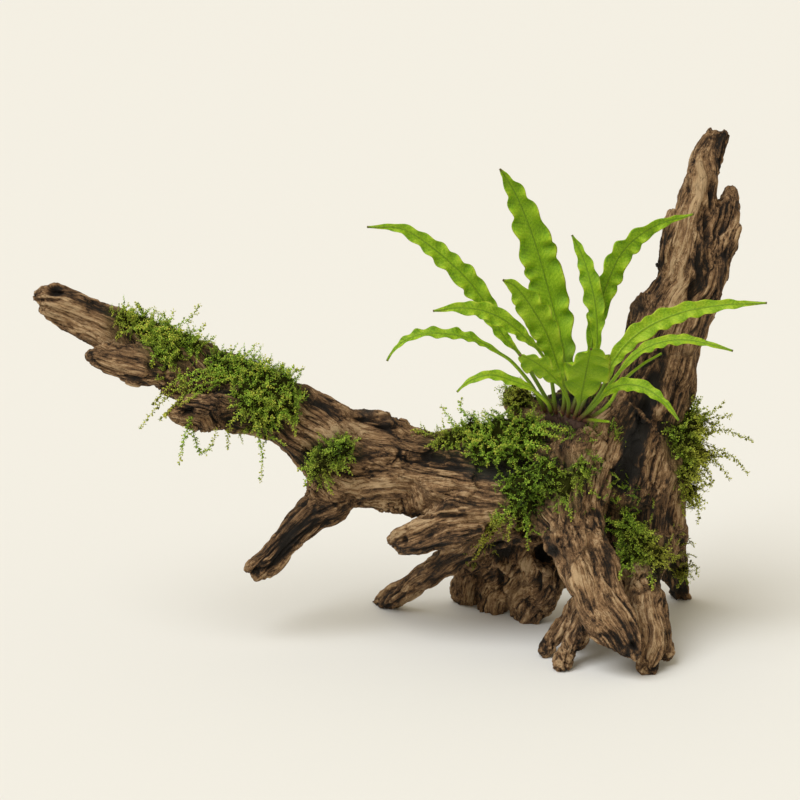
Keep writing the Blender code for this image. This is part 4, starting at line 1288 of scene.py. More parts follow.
tube_tree, given = new_tree("tapered tubes", [
    ("Radius", "NodeSocketFloat"), ("Tip share", "NodeSocketFloat"), ("Material", "NodeSocketMaterial"),
])
lines = node(tube_tree, "GeometryNodeMeshToCurve", {"Mesh": given["Geometry"]}).outputs[0]
taper = ranged(tube_tree, named_value(tube_tree, "tip"), 0.0, 1.0, 1.0, given["Tip share"])
profile = node(
    tube_tree, "GeometryNodeCurvePrimitiveCircle", {"Resolution": 3, "Radius": given["Radius"]}
).outputs[0]
tubes = node(tube_tree, "GeometryNodeCurveToMesh", {
    "Curve": lines, "Profile Curve": profile, "Scale": taper, "Fill Caps": True,
}).outputs[0]
send_out(tube_tree, tubes, given["Material"])

# %% [markdown]
# ## Rhizome
# The fronds stand on a creeping stem about 5 mm thick, covered in small dark scales, that holds on to the
# wood with a mat of fine brown rootlets. The solid's own skin is remeshed, its underside is let down onto
# the wood as the core of that mat, and it is remeshed again and roughened. The rootlets are lines that feel
# their way over the wood: each step goes ahead a little and is then put back on the nearest spot of the
# wood's surface.

# %% Rhizome
RHIZOME_VOXEL = 0.5 * MM
SCALE_CELL = (2.2, 2.2, 2.6)
SCALE_HEIGHT = 0.9
MAT_DEPTH = 14 * MM
MAT_SINK = 0.6 * MM
ROOTLETS = 220
ROOTLET_STEPS = (5, 13)
ROOTLET_STEP = 1.0 * MM
ROOTLET_RADIUS = 0.20 * MM
ROOTLET_TIP_SHARE = 0.4
ROOTLET_WANDER = 0.45
ROOTLET_DROP = -0.35
wood_surface = surface_of(*wood_meshes.values())

rhizome_mesh = remeshed(welded("rhizome"), 2 * RHIZOME_VOXEL)
stem_points = points_of(rhizome_mesh)
facing_down = smoothstep(0.1, -0.4, points_of(rhizome_mesh, "normal")[:, 2])
for i in np.flatnonzero(facing_down > 0):
    drop = wood_surface.ray_cast(Vector(stem_points[i]), Vector((0, 0, -1)), MAT_DEPTH)[3]
    if drop:
        stem_points[i, 2] -= (drop + MAT_SINK) * facing_down[i]
move_points(rhizome_mesh, stem_points)
rhizome_mesh = remeshed(rhizome_mesh, RHIZOME_VOXEL, ("SMOOTH", {"factor": 0.5, "iterations": 4}))
stem_points = points_of(rhizome_mesh)
scales = terraces(noise_at(stem_points / MM, SCALE_CELL, 51)) * SCALE_HEIGHT
move_points(rhizome_mesh, stem_points + points_of(rhizome_mesh, "normal") * (scales * MM)[:, None])

STEM_BROWN = (0.050, 0.017, 0.008)
STEM_RED_BROWN = (0.20, 0.085, 0.035)
rhizome_finish, tree, shader = new_material("rhizome")
stem_colour = ramp(
    tree, speckle(tree, 520.0, 4.0, 0.7), (0.40, NEARLY_BLACK), (0.56, STEM_BROWN), (0.78, STEM_RED_BROWN)
)
tree.links.new(stem_colour, shader.inputs["Base Color"])
shader.inputs["Roughness"].default_value = 0.8
rhizome_mesh.materials.clear()
rhizome_mesh.materials.append(rhizome_finish)


def rootlet(start, heading, steps, root_random):
    """Points from the stem outwards that keep to the wood."""
    points = [start]
    for _ in range(steps):
        aside, ahead = root_random.gauss(0, ROOTLET_WANDER), root_random.gauss(0, ROOTLET_WANDER)
        heading = (heading + Vector((aside, ahead, ROOTLET_DROP))).normalized()
        spot, normal, _, _ = wood_surface.find_nearest(points[-1] + heading * ROOTLET_STEP)
        points.append(spot + normal * ROOTLET_RADIUS)
    return points


root_random = random.Random(8)
stem_low, stem_high = (Vector(corner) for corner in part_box("rhizome"))
rootlets = []
for _ in range(ROOTLETS):
    corner = Vector(root_random.uniform(a, b) for a, b in zip(stem_low, stem_high))
    spot = rhizome_surface.find_nearest(corner)[0]
    heading = Vector((root_random.uniform(-1, 1), root_random.uniform(-1.4, 1.0), -0.4)).normalized()
    rootlets.append(rootlet(spot, heading, root_random.randint(*ROOTLET_STEPS), root_random))
root_mesh = through_tree(line_mesh(rootlets), tube_tree, {
    "Radius": ROOTLET_RADIUS, "Tip share": ROOTLET_TIP_SHARE, "Material": rhizome_finish,
})


def joined(meshes):
    """The meshes as one, with their materials and attributes."""
    objects = [bpy.data.objects.new("part of a piece", mesh) for mesh in meshes]
    for obj in objects:
        bpy.context.scene.collection.objects.link(obj)
    with bpy.context.temp_override(active_object=objects[0], selected_editable_objects=objects):
        bpy.ops.object.join()
    mesh = objects[0].data
    bpy.data.objects.remove(objects[0])
    return mesh


stem_ground = rhizome_mesh.copy()
add_piece("creeping_stem", joined([rhizome_mesh, root_mesh]), "rhizome", "rhizome")

# %% [markdown]
# ## Moss: one leafy shoot
# A moss shoot is a thin stem with tiny leaflets spiralling round it. Geometry Nodes make it from a plain
# line: the line becomes a three-sided stem, and one leaflet stands at every step along it, each turned by
# the golden angle from the one before, as in the real plant. The same tree makes short sprigs and the long
# strands that hang down. A leaflet has only four faces, because there are about a hundred thousand of them.

# %% Leaflet
def leaflet_object():
    """A rounded folded kite, one unit long: a closed shape of four faces."""
    mesh = bpy.data.meshes.new("leaflet")
    corners = [(0, 0, 0), (0.47, -0.08, 0.52), (-0.47, -0.08, 0.52), (0, 0.14, 1.0)]
    mesh.from_pydata(corners, [], [(0, 1, 2), (0, 3, 1), (0, 2, 3), (1, 3, 2)])
    shape = bmesh.new()
    shape.from_mesh(mesh)
    bmesh.ops.recalc_face_normals(shape, faces=shape.faces)
    shape.to_mesh(mesh)
    shape.free()
    obj = bpy.data.objects.new("leaflet", mesh)
    bpy.context.scene.collection.objects.link(obj)
    return obj


leaflet = leaflet_object()

# %% Tree that leafs out a line
GOLDEN_ANGLE = math.radians(137.5)

# how far a leaflet leans out from its stem, and its size at the foot and tip of the stem
LEAFLET_LEAN = (0.7, 1.25)
LEAFLET_SIZE = (1.1, 0.7)
LEAFLET_UNEVEN = (0.75, 1.25)
STEM_TIP_SHARE = 0.35

shoot_tree, given = new_tree("moss shoot", [
    ("Leaflet", "NodeSocketObject"), ("Leaflet length", "NodeSocketFloat"),
    ("Leaflet spacing", "NodeSocketFloat"), ("Stem radius", "NodeSocketFloat"),
    ("Seed", "NodeSocketInt"), ("Material", "NodeSocketMaterial"),
])
seed = given["Seed"]
stems = node(shoot_tree, "GeometryNodeGroup", {
    "Geometry": given["Geometry"], "Radius": given["Stem radius"], "Tip share": STEM_TIP_SHARE,
    "Material": given["Material"],
}, node_tree=tube_tree).outputs[0]
lines = node(shoot_tree, "GeometryNodeMeshToCurve", {"Mesh": given["Geometry"]}).outputs[0]
stations = node(
    shoot_tree, "GeometryNodeCurveToPoints", {"Curve": lines, "Length": given["Leaflet spacing"]},
    mode="LENGTH",
)
index = node(shoot_tree, "GeometryNodeInputIndex").outputs[0]
turn = turn_about(shoot_tree, (0, 0, 1), math_of(shoot_tree, "MULTIPLY", index, GOLDEN_ANGLE))
lean = turn_about(shoot_tree, (1, 0, 0), chance_of(shoot_tree, seed, "FLOAT", *LEAFLET_LEAN))
turned = turned_further(shoot_tree, turned_further(shoot_tree, stations.outputs["Rotation"], turn), lean)
size = ranged(shoot_tree, named_value(shoot_tree, "tip"), 0.0, 1.0, *LEAFLET_SIZE)
size = math_of(shoot_tree, "MULTIPLY", size, chance_of(shoot_tree, seed, "FLOAT", *LEAFLET_UNEVEN))
size = math_of(shoot_tree, "MULTIPLY", size, given["Leaflet length"])
leaf_info = node(shoot_tree, "GeometryNodeObjectInfo", {"Object": given["Leaflet"], "As Instance": True})
leaves = node(shoot_tree, "GeometryNodeInstanceOnPoints", {
    "Points": stations.outputs["Points"], "Instance": leaf_info.outputs["Geometry"],
    "Rotation": turned, "Scale": size,
}).outputs[0]
together = node(shoot_tree, "GeometryNodeJoinGeometry")
shoot_tree.links.new(leaves, together.inputs[0])
shoot_tree.links.new(stems, together.inputs[0])
realised = node(shoot_tree, "GeometryNodeRealizeInstances", {"Geometry": together.outputs[0]}).outputs[0]
send_out(shoot_tree, realised, given["Material"])

# %% [markdown]
# ## Finish: moss
# Each shoot is dark at its root, where little light comes, and turns through green to a bright yellow green
# at its tip. The attribute named tip, stored by the tree, says how far along its shoot a leaflet sits. The
# attribute named shade is a random number for each shoot, which keeps neighbours apart. Two more attributes
# are worked out when a clump is put together: sunlit makes whole places lighter or darker, and yellowing
# turns them to the colour of old dry moss. The cushion under the shoots has a finish of its own, almost
# black, which is painted shade for the depths between the shoots.

# %% Moss materials
MOSS_SHADE = (0.010, 0.018, 0.002)
MOSS_GREEN = (0.150, 0.270, 0.013)
MOSS_LIGHT = (0.450, 0.700, 0.066)
MOSS_YELLOW = (0.640, 0.660, 0.080)
MOSS_OLIVE = (0.150, 0.130, 0.012)
# the cushion's almost black colours are painted shade between the shoots
CUSHION_SHADE_DARK = (0.008, 0.007, 0.002)
CUSHION_SHADE_GREEN = (0.030, 0.036, 0.004)

moss_finish, tree, shader = new_material("moss shoots")
tip_of = attribute(tree, "tip")
moss_tone = weighted_sum(
    tree, 0.0, (tip_of, 0.55), (attribute(tree, "shade"), 0.48), (attribute(tree, "sunlit"), 0.17)
)
moss_colour = ramp(
    tree, moss_tone, (0.12, MOSS_SHADE), (0.45, MOSS_GREEN), (0.82, MOSS_LIGHT), (1.0, MOSS_YELLOW)
)
dry_colour = mixed(tree, tip_of, MOSS_OLIVE, MOSS_YELLOW)
moss_colour = mixed(tree, attribute(tree, "yellowing"), moss_colour, dry_colour)
tree.links.new(moss_colour, shader.inputs["Base Color"])
shader.inputs["Roughness"].default_value = 0.55
shader.inputs["Specular IOR Level"].default_value = 0.3

# the cushion material: painted shade
cushion_shade_finish, tree, shader = new_material("moss cushion, painted shade")
cushion_shade_colour = ramp(tree, speckle(tree, 700.0, 3.0), (0.35, CUSHION_SHADE_DARK), (0.65, CUSHION_SHADE_GREEN))
tree.links.new(cushion_shade_colour, shader.inputs["Base Color"])
shader.inputs["Roughness"].default_value = 1.0
shader.inputs["Specular IOR Level"].default_value = 0.05

# %% [markdown]
# ## Moss: a handful of sprigs
# A few different sprigs are enough, because each copy is turned and scaled. Most have side branches like a
# tiny fir twig, as this moss has, and one is a plain curved shoot.

# %% Sprigs
LEAFLET_LENGTH = 1.15 * MM
LEAFLET_SPACING = 0.64 * MM
STEM_RADIUS = 0.13 * MM
# of a side branch: how far it goes ahead and aside in its first and in its second half, how much shorter
# the last one is, and how much its length and its plane vary
BRANCH_AHEAD = (0.45, 0.80)
BRANCH_ASIDE = (0.60, 0.55)
BRANCH_TAPER = 0.7
BRANCH_UNEVEN = (0.75, 1.25)
BRANCH_WAVER = 0.35
# length, sideways bend, side branches, longest side branch
SPRIGS = [
    (8.0, 2.4, 6, 3.1), (6.6, -2.0, 5, 2.6), (7.2, 1.4, 4, 2.2),
    (5.0, 1.6, 2, 1.6), (4.6, -1.2, 0, 0.0), (9.6, 3.2, 6, 2.4),
]


def bent_line(length, bend, count):
    """Points up a line that bends more and more to +X."""
    steps = [i / (count - 1) for i in range(count)]
    return [Vector((bend * s * s, 0, length * s)) * MM for s in steps]


def twig(line, longest, flat_side, chance):
    """The line with side branches left and right of it in one plane, shorter towards its tip."""
    made = [line]
    for i in range(1, len(line) - 1):
        ahead = (line[i + 1] - line[i - 1]).normalized()
        aside = ahead.cross(flat_side).normalized() * (1 if i % 2 else -1)
        aside = (aside + flat_side * chance.uniform(-BRANCH_WAVER, BRANCH_WAVER)).normalized()
        reach = longest * (1 - BRANCH_TAPER * i / (len(line) - 1)) * chance.uniform(*BRANCH_UNEVEN)
        half_way = line[i] + (ahead * BRANCH_AHEAD[0] + aside * BRANCH_ASIDE[0]) * (reach / 2)
        end = half_way + (ahead * BRANCH_AHEAD[1] + aside * BRANCH_ASIDE[1]) * (reach / 2)
        made.append([line[i], half_way, end])
    return made


def leafed(lines_of_points, number, length=LEAFLET_LENGTH, spacing=LEAFLET_SPACING, radius=STEM_RADIUS):
    """The lines as stems full of leaflets, in one mesh."""
    values = {
        "Leaflet": leaflet, "Leaflet length": length, "Leaflet spacing": spacing,
        "Stem radius": radius, "Seed": number, "Material": moss_finish,
    }
    return through_tree(line_mesh(lines_of_points), shoot_tree, values)


sprig_collection = bpy.data.collections.new("sprigs")
bpy.context.scene.collection.children.link(sprig_collection)
sprig_random = random.Random(12)
for number, (length, bend, branches, longest) in enumerate(SPRIGS):
    if branches:
        line = bent_line(length, bend, branches + 2)
        sprig_lines = twig(line, longest * MM, Vector((1, 0, 0)), sprig_random)
    else:
        sprig_lines = [bent_line(length, bend, 4)]
    sprig = bpy.data.objects.new(f"sprig {number}", leafed(sprig_lines, number))
    sprig_collection.objects.link(sprig)
print("sprigs:", [triangle_count(s.data) for s in sprig_collection.objects], "triangles each")

# %% [markdown]
# ## Moss: shoots all over a surface
# The second tree scatters the sprigs. It spreads points evenly over a surface, thins them by an attribute
# that says how mossy each place is, stands a random sprig on each, and leans it at random from the
# surface's own direction.

# %% Tree that covers a surface
COVER_NUMBERS = ("Spacing", "Per square metre", "Smallest", "Largest", "Stand", "Lean", "Lift")
cover_tree, given = new_tree("moss cover", [
    ("Sprigs", "NodeSocketCollection"), ("Seed", "NodeSocketInt"), ("Material", "NodeSocketMaterial"),
    *((label, "NodeSocketFloat") for label in COVER_NUMBERS),
])
seed = given["Seed"]


def scaled(vector, factor):
    values = {0: vector, "Scale": factor}
    return node(cover_tree, "ShaderNodeVectorMath", values, operation="SCALE").outputs[0]


def vector_sum(first, second):
    return node(cover_tree, "ShaderNodeVectorMath", {0: first, 1: second}, operation="ADD").outputs[0]


spread = node(cover_tree, "GeometryNodeDistributePointsOnFaces", {
    "Mesh": given["Geometry"], "Distance Min": given["Spacing"], "Density Max": given["Per square metre"],
    "Density Factor": named_value(cover_tree, "mossiness"), "Seed": seed,
}, distribute_method="POISSON")
outwards = scaled(spread.outputs["Normal"], given["Stand"])
any_way = chance_of(cover_tree, seed, "FLOAT_VECTOR", (-1, -1, -1), (1, 1, 1))
aside = scaled(any_way, given["Lean"])
lifted = node(cover_tree, "ShaderNodeCombineXYZ", {2: given["Lift"]}).outputs[0]
growing = vector_sum(vector_sum(outwards, aside), lifted)
upright = node(cover_tree, "FunctionNodeAlignRotationToVector", {"Vector": growing}, axis="Z").outputs[0]
spin = turn_about(cover_tree, (0, 0, 1), chance_of(cover_tree, seed, "FLOAT", 0.0, math.tau))
sprigs_in = node(cover_tree, "GeometryNodeCollectionInfo", {
    "Collection": given["Sprigs"], "Separate Children": True, "Reset Children": True,
}).outputs[0]
standing = node(cover_tree, "GeometryNodeInstanceOnPoints", {
    "Points": spread.outputs["Points"], "Instance": sprigs_in, "Pick Instance": True,
    "Instance Index": chance_of(cover_tree, seed, "INT", 0, len(SPRIGS) - 1),
    "Rotation": turned_further(cover_tree, upright, spin),
    "Scale": chance_of(cover_tree, seed, "FLOAT", given["Smallest"], given["Largest"]),
}).outputs[0]
standing = node(cover_tree, "GeometryNodeStoreNamedAttribute", {
    "Geometry": standing, "Name": "shade", "Value": chance_of(cover_tree, seed, "FLOAT", 0.0, 1.0),
}, data_type="FLOAT", domain="INSTANCE").outputs[0]
realised = node(cover_tree, "GeometryNodeRealizeInstances", {"Geometry": standing}).outputs[0]
send_out(cover_tree, realised, given["Material"])

# %% [markdown]
# ## Moss: a dark cushion inside each clump
# Between the shoots the eye looks into shade. Each clump therefore has a cushion, coloured almost black as
# painted shade: its solid, drawn in by the length of a sprig where it is thick enough, and brought down onto
# the wood underneath. The sprigs stand on the cushion, so their tips end where the solid's surface is. Two
# clumps on the arm lie flatter than their solids. Where a solid runs out in thin ends, the cushion stops and
# the strands take over. What is left is then only kept where it hangs together, so that no loose crumb
# floats beside a clump.

# %% Cushions
CUSHION_VOXEL = 1.1 * MM
SPRIG_DEPTH = 4.4 * MM
THICKNESS_SHARE = 0.5
THIN_ROUNDS = 4
JUST_INSIDE = 0.05
# distances from the wood, in millimetres, over which a cushion is let down, drawn in, or cut off if thin
LET_DOWN_OVER = (1.8, 3.6)
DRAWN_IN_OVER = (1.0, 5.0)
CUT_OFF_OVER = (3.0, 5.5)
# thicknesses, in millimetres, between which a cushion is cut off
THIN_OVER = (7.0, 10.0)
BODY_EDGE = 0.15
LUMP_CELL = 3.2
LUMP_HEIGHT = 0.9
SMALLEST_PART = 0.05
# clumps that lie flatter than their solids: the share of their height that is left
FLATTEN = {"moss_arm_end": 0.45, "moss_arm_middle": 0.75}


def thickness_of(mesh):
    """How thick the mesh is under each point, and how thin it gets within a few steps of it.

    A ray that finds no other side counts as endless thickness.
    """
    surface = surface_of(mesh)
    points, normals = points_of(mesh), points_of(mesh, "normal")
    thickness = np.array([
        surface.ray_cast(Vector(point - normal * JUST_INSIDE * MM), Vector(-normal))[3] or np.inf
        for point, normal in zip(points, normals)
    ])
    start, end = edges_of(mesh).T
    thinnest = thickness.copy()
    for _ in range(THIN_ROUNDS):
        before = thinnest.copy()
        np.minimum.at(thinnest, start, before[end])
        np.minimum.at(thinnest, end, before[start])
    return thickness, np.where(np.isinf(thinnest), 0, thinnest)


def in_large_parts(mesh, wanted):
    """Of the wanted points, those that hang together with a fair share of the others."""
    neighbours = [[] for _ in wanted]
    for a, b in edges_of(mesh).tolist():
        if wanted[a] and wanted[b]:
            neighbours[a].append(b)
            neighbours[b].append(a)
    kept, met = np.zeros(len(wanted), bool), set()
    for i in np.flatnonzero(wanted).tolist():
        if i in met:
            continue
        part = [i]
        met.add(i)
        for j in part:
            new = [k for k in neighbours[j] if k not in met]
            met.update(new)
            part += new
        kept[part] = len(part) > SMALLEST_PART * wanted.sum()
    return kept


def cushion_of(node_name):
    """The cushion of a clump, which keeps how mossy each of its points is."""
    mesh = remeshed(welded(node_name), CUSHION_VOXEL, ("SMOOTH", {"factor": 0.5, "iterations": 3}))
    points, normals = points_of(mesh), points_of(mesh, "normal")
    thickness, thinnest = thickness_of(mesh)
    gaps = distances(points, wood_surface)
    spots = np.array([wood_surface.find_nearest(point)[0] for point in points.tolist()])
    drawn_in = np.minimum(SPRIG_DEPTH, THICKNESS_SHARE * thickness) * smoothstep(*DRAWN_IN_OVER, gaps / MM)
    lowered = np.maximum(1 - smoothstep(*LET_DOWN_OVER, gaps / MM), 1 - FLATTEN.get(node_name, 1.0))
    body = np.maximum(smoothstep(*THIN_OVER, thinnest / MM), 1 - smoothstep(*CUT_OFF_OVER, gaps / MM))
    lumps = noise_at(points / MM, LUMP_CELL, 61) * LUMP_HEIGHT * MM
    move_points(mesh, points + (spots - points) * lowered[:, None] + normals * (lumps - drawn_in)[:, None])
    mesh = closed_part(mesh, in_large_parts(mesh, body > BODY_EDGE))
    store(mesh, "mossiness", np.ones(len(mesh.vertices)))
    mesh.materials.clear()
    mesh.materials.append(cushion_shade_finish)
    return mesh


MOSS_NODES = sorted(name for name in NODES if name.startswith("moss_"))
cushions = {name: cushion_of(name) for name in MOSS_NODES}
print("cushions:", {name[5:]: len(mesh.polygons) for name, mesh in cushions.items()})

# %% [markdown]
# ## Moss: long strands
# The loose strands that hang from the arm or reach out at the right are routes chosen one by one. Their
# points are millimetres across, up and back as they look from the front, and the function `place` turns such
# a point into one in the model's own frame. A point that ends up behind the wood is brought forward to just
# in front of it.

# %% Routes of the strands
STRANDS = {
    "moss_arm_end": [
        [(-108, 174, -4), (-103, 179, -2), (-100.5, 184, 0)],
        [(-116, 174, 0), (-114, 178, 2), (-113, 181, 2)],
        [(-103, 170, -6), (-99, 172, -4), (-97, 174, -2)],
        [(-121, 160, -14), (-124, 156, -16), (-124, 152, -16)],
        [(-132, 172, -8), (-138, 170, -10), (-142, 166, -10)],
        [(-130, 176, -4), (-137, 181, -3), (-138, 182, -3)],
    ],
    "moss_arm_middle": [
        [(-86, 150, -13), (-100, 147, -17), (-112, 141, -18), (-122, 132, -17), (-130, 122, -16)],
        [(-84, 147, -13), (-98, 144, -17), (-108, 138, -18), (-115, 131, -17), (-120, 126, -16)],
        [(-88, 152, -13), (-102, 150, -17), (-114, 144, -18), (-120, 138, -17), (-123, 134, -16)],
        [(-90, 144, -13), (-100, 140, -17), (-106, 136, -18), (-111, 133, -17)],
        [(-72, 126, -17), (-70.5, 118, -16), (-69, 108, -14), (-69.5, 95, -12)],
        [(-104, 128, -22), (-107, 120, -23), (-109, 112, -22), (-110.5, 104, -20)],
        [(-104, 122, -22), (-101, 112, -21), (-98, 110, -20), (-94, 114, -20), (-91.5, 122, -20)],
        [(-84, 126, -17), (-86, 119, -17), (-86, 112, -15)], [(-58, 150, -6), (-54, 152, -3), (-51, 151, 0)],
        [(-58, 132, -16), (-54, 124, -16), (-52, 118, -15)],
        [(-76, 158, -8), (-74, 162, -7), (-71, 164, -6)],
    ],
    "moss_fork": [
        [(-42, 100, -16), (-46, 97, -15), (-48, 93, -12)],
        [(-44, 101, -15), (-48, 102, -12), (-51, 101, -9)],
        [(-30, 104, -21), (-27, 102, -21), (-24, 99, -20)],
        [(-36, 98, -20), (-36, 93, -20), (-34, 89, -18)],
    ],
    "moss_crown_left": [
        [(28, 120, 0), (24, 128, 2), (20.5, 133, 4)], [(44, 110, -15), (44, 106, -17), (43.5, 103, -16)],
        [(18, 118, 2), (11, 120, 4), (6, 121, 5)], [(66, 122, -12), (70, 122, -15), (73, 120, -16)],
        [(34, 126, 2), (30, 133, 3), (31, 137, 3)],
        [(66, 120, -13), (73, 119, -17), (80, 117, -20)], [(68, 124, -10), (75, 123, -14), (83, 121, -20)],
        [(62, 116, -14), (68, 113, -18), (75, 112, -20)],
    ],
    "moss_crown_front": [
        [(63, 78, -24), (63.5, 70, -24), (64, 61, -22)], [(52, 78, -18), (44, 68, -12), (37, 56, -5)],
        [(80, 88, -31), (84, 82, -34), (86, 76, -34)], [(58, 82, -24), (55, 74, -24), (54, 66, -22)],
        [(55, 82, -18), (48, 73, -13), (41, 63, -8)], [(50, 80, -18), (44, 72, -13), (38, 62, -7)],
    ],
    "moss_front_right": [
        [(111, 54, -24), (110, 50, -24), (110, 46, -22)], [(125, 50, -20), (126, 46, -22), (126, 41, -20)],
        [(131, 58, -12), (135, 58, -9), (138, 56, -6)], [(99, 88, -30), (97, 90, -30), (95, 90, -28)],
    ],
    "moss_right_side": [
        [(152, 119, 4), (162, 121, 3), (170, 118, 3), (176.5, 115.5, 4)],
        [(152, 114, 4), (162, 110, 2), (168, 106, 3), (174, 99, 4)],
        [(148, 124, 5), (155, 129, 5), (162.5, 135, 6)], [(146, 124, 5), (147, 132, 6), (146, 138, 6)],
        [(146, 92, 4), (149, 84, 4), (149, 74, 6)], [(152, 104, 6), (155, 98, 6), (156, 93, 8)],
        [(154, 118, 5), (160, 127, 6), (166, 128, 7)], [(150, 110, 4), (159, 104, 4), (165, 96, 5)],
        [(144, 98, 3), (141, 88, 3), (142, 78, 5)],
    ],
    "moss_right_rear": [
        [(144, 66, 20), (146, 65, 20), (147, 63, 20)], [(145, 56, 28), (148, 52, 27), (149, 48, 26)],
        [(141, 50, 34), (140, 46, 34), (139, 42, 34)],
    ],
}
STRAND_LEAFLET = 1.65 * MM
STRAND_SPACING = 0.72 * MM
STRAND_RADIUS = 0.20 * MM
STRAND_STEP = 1.8 * MM
STRAND_BRANCH = 3.1 * MM
STRAND_BRANCH_SHARE = 0.35
STRAND_CLEARANCE = 1.5 * MM


def brought_forward(point):
    """The point, or where the wood hides it, a place just in front of the wood."""
    towards = point - camera.location
    hit = wood_surface.ray_cast(camera.location, towards.normalized(), towards.length)[0]
    return hit - towards.normalized() * STRAND_CLEARANCE if hit else point


def strand_lines(node_name):
    """Each route as a smooth line with side branches, like a tiny fir twig."""
    chance = random.Random(node_name)
    made = []
    for route in STRANDS[node_name]:
        knots = np.array([place(*point) for point in route])
        length = np.linalg.norm(np.diff(knots, axis=0), axis=1).sum()
        smooth_line = through_points(knots, max(4, round(length / STRAND_STEP)))
        line = [brought_forward(Vector(point)) for point in smooth_line]
        flat_side = Vector((chance.uniform(-0.4, 0.4), -1, chance.uniform(-0.2, 0.5))).normalized()
        made += twig(line, min(STRAND_BRANCH, STRAND_BRANCH_SHARE * length), flat_side, chance)
    return made


print("strands:", sum(len(routes) for routes in STRANDS.values()))

# %% [markdown]
# ## Moss: put each clump together
# A clump is its cushion, the sprigs that cover it, the sprigs that creep over the wood round it, and its
# strands, joined to one mesh. The wood near a clump is copied and given a mossiness that fades with
# distance and is patchy. Marks placed as they are seen say where more moss creeps over the wood, where it
# is yellow, and where it is lit or shaded.

# %% Clumps
# shoots per square metre, smallest, largest, stand, lean, lift,
# and how far moss creeps over the wood in millimetres
CLUMPS = {
    "moss_arm_end": (420000, 0.50, 1.30, 0.40, 0.85, 0.15, 5.0),
    "moss_arm_middle": (380000, 0.55, 1.30, 0.45, 0.85, -0.10, 6.0),
    "moss_fork": (420000, 0.50, 1.10, 0.50, 0.85, 0.00, 6.0),
    "moss_crown_left": (350000, 0.50, 1.20, 0.50, 0.85, 0.00, 7.0),
    "moss_crown_front": (340000, 0.45, 1.05, 0.40, 0.85, -0.25, 12.0),
    "moss_front_right": (420000, 0.50, 1.20, 0.50, 0.85, -0.10, 8.0),
    "moss_right_side": (400000, 0.60, 1.40, 0.60, 0.85, 0.05, 6.0),
    "moss_right_rear": (420000, 0.50, 1.10, 0.50, 0.85, 0.00, 6.0),
}
# across, up, half width, half height, where more moss creeps over the wood
CREEPS = {
    "moss_arm_middle": [(-98, 150, 10, 8), (-110, 146, 8, 6)],
    "moss_crown_left": [
        (18, 118, 12, 4), (30, 116, 10, 5), (74, 124, 9, 7), (84, 121, 9, 5), (97, 120, 6, 5),
        (105, 120, 6, 6), (72, 136, 9, 7), (86, 136, 12, 6), (100, 138, 8, 6),
    ],
    "moss_crown_front": [
        (55, 83, 5, 5), (48, 73, 5, 5), (41, 63, 5, 5), (36, 57, 4, 4), (100, 92, 12, 8), (84, 118, 9, 4),
        (104, 121, 9, 5), (95, 105, 8, 5),
    ],
    "moss_front_right": [(114, 86, 10, 8), (120, 74, 8, 8)],
    "moss_right_rear": [(144, 62, 6, 14)],
}
# across, up, half width, half height, how yellow
YELLOW_MOSS = [
    (54, 118, 24, 14, -0.5), (66, 90, 18, 12, -0.3), (-147, 170, 12, 10, 0.8), (-98, 178, 9, 9, 0.5),
    (-118, 136, 16, 14, 0.7), (-84, 120, 14, 8, 0.6), (-158, 176, 14, 8, 0.8), (-36, 98, 14, 9, 0.4),
    (18, 118, 13, 9, 0.6), (60, 138, 13, 8, 0.7), (86, 92, 14, 9, 0.45), (42, 64, 16, 14, 1.3),
    (132, 60, 9, 18, 0.8), (162, 116, 14, 26, 1.0), (150, 84, 14, 26, 0.7), (144, 60, 10, 16, 0.7),
]
# across, up, half width, half height, how light (less than 0 is shaded)
LIT_MOSS = [
    (50, 122, 26, 13, 0.8), (-68, 140, 30, 20, 0.9), (-120, 174, 24, 12, 1.0), (66, 88, 24, 17, -0.9),
    (92, 104, 14, 16, -0.8), (118, 66, 14, 20, -0.5), (143, 106, 10, 24, -0.5), (143, 60, 8, 16, -0.7),
    (86, 134, 20, 8, -1.4), (60, 140, 8, 6, -0.8), (44, 68, 10, 14, 0.9), (-36, 104, 14, 12, -0.8),
]
SHOOT_SPACING = 1.15 * MM
# shoots that creep over the wood: how many to the square metre, their stand and lean, and their
# smallest and largest size as shares of those on the cushion
CREEPING_SHOOTS = 260000
CREEPING_STAND = 0.5
CREEPING_LEAN = 0.8
CREEPING_SMALLEST = 0.5
CREEPING_LARGEST = 0.7
CREEPING_SEED = 40
# the wood this near to a clump, in millimetres, is full of moss, and what is less mossy than this is bare
FULL_WITHIN = 1.5
LEAST_MOSSY = 0.04
# the size of the patches of moss on it, in millimetres, and the noise between which bare turns to mossy
MOSS_PATCH_CELL = 5.0
BARE_TO_MOSSY = (-0.4, 0.3)
# strands get a high shade value: painted light, as if light shines through them
STRAND_PAINTED_LIGHT = 1.1
YELLOW_EVERYWHERE = 0.12
YELLOW_PATCHES = 0.35
YELLOW_CELL = 7.0
MOST_YELLOW = 0.85

ground = merged(*wood_meshes.values(), stem_ground)
ground = with_modifiers(ground, ("TRIANGULATE", {}))
wood_now, wood_normals = points_of(ground), points_of(ground, "normal")
wood_faces = np.array([polygon.vertices[:] for polygon in ground.polygons])
wood_seen = as_seen(wood_now)
wood_facing = smoothstep(-0.1, 0.3, wood_normals @ TOWARDS_CAMERA)


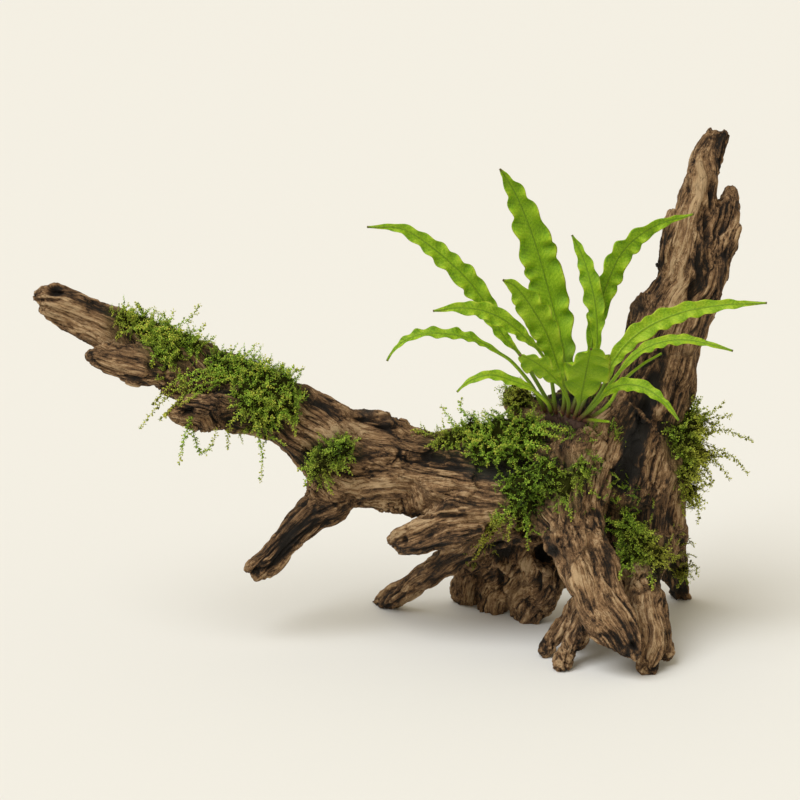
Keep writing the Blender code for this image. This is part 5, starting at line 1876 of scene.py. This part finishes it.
def wood_near(node_name, reach):
    """The wood within reach of a clump, as a mesh that keeps how mossy each point is."""
    low, high = (np.array(corner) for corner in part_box(node_name))
    found = np.flatnonzero(np.all((wood_now > low - reach * MM) & (wood_now < high + reach * MM), axis=1))
    mossiness = np.zeros(len(wood_now))
    away = distances(wood_now[found], surface_of(welded(node_name))) / MM
    mossiness[found] = 1 - smoothstep(FULL_WITHIN, reach, away)
    for mark in CREEPS.get(node_name, []):
        mossiness = np.maximum(mossiness, wood_facing * bell(wood_seen, mark))
    mossiness *= smoothstep(*BARE_TO_MOSSY, noise_at(wood_now / MM, MOSS_PATCH_CELL, 71))
    kept = wood_faces[np.all(mossiness[wood_faces] > LEAST_MOSSY, axis=1)]
    used, corners = np.unique(kept, return_inverse=True)
    mesh = bpy.data.meshes.new("near")
    mesh.from_pydata(wood_now[used].tolist(), [], corners.reshape(-1, 3).tolist())
    store(mesh, "mossiness", mossiness[used])
    return mesh


def covered(mesh, number, *shoots):
    """Sprigs all over the mesh, from shoots per square metre, smallest, largest, stand, lean and lift."""
    values = dict(zip(COVER_NUMBERS, map(float, (SHOOT_SPACING, *shoots))))
    values |= {"Sprigs": sprig_collection, "Seed": number, "Material": moss_finish}
    return through_tree(mesh, cover_tree, values)


for number, (name, (per_area, smallest, largest, stand, lean, lift, reach)) in enumerate(CLUMPS.items()):
    cushion = cushions[name]
    shoots = covered(cushion.copy(), number, per_area, smallest, largest, stand, lean, lift)
    creeping = covered(
        wood_near(name, reach), number + CREEPING_SEED, CREEPING_SHOOTS, smallest * CREEPING_SMALLEST,
        largest * CREEPING_LARGEST, CREEPING_STAND, CREEPING_LEAN, lift,
    )
    strands = leafed(strand_lines(name), number, STRAND_LEAFLET, STRAND_SPACING, STRAND_RADIUS)
    store(strands, "shade", np.full(len(strands.vertices), STRAND_PAINTED_LIGHT))
    parts = [shoots, creeping, strands, cushion]
    print("shoots, creeping shoots, strands, cushion:", [triangle_count(mesh) for mesh in parts])
    clump = joined(parts)
    clump_points = points_of(clump)
    seen = as_seen(clump_points)
    yellowing = sum(mark[4] * bell(seen, mark) for mark in YELLOW_MOSS)
    yellowing += YELLOW_EVERYWHERE + YELLOW_PATCHES * noise_at(clump_points / MM, YELLOW_CELL, 81)
    store(clump, "yellowing", np.clip(yellowing, 0, MOST_YELLOW))
    store(clump, "sunlit", sum(mark[4] * bell(seen, mark) for mark in LIT_MOSS))
    add_piece(name.replace("moss_", "moss_clump_"), clump, "moss", name)

# %% [markdown]
# ## Put the helpers away
# The leaflet and the sprigs were only patterns for the trees, so they are removed. The bounds of the
# finished object are then worked out.

# %% Clear up and finish
for helper in [leaflet, *sprig_collection.objects]:
    bpy.data.objects.remove(helper)
bpy.data.collections.remove(sprig_collection)
low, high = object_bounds()
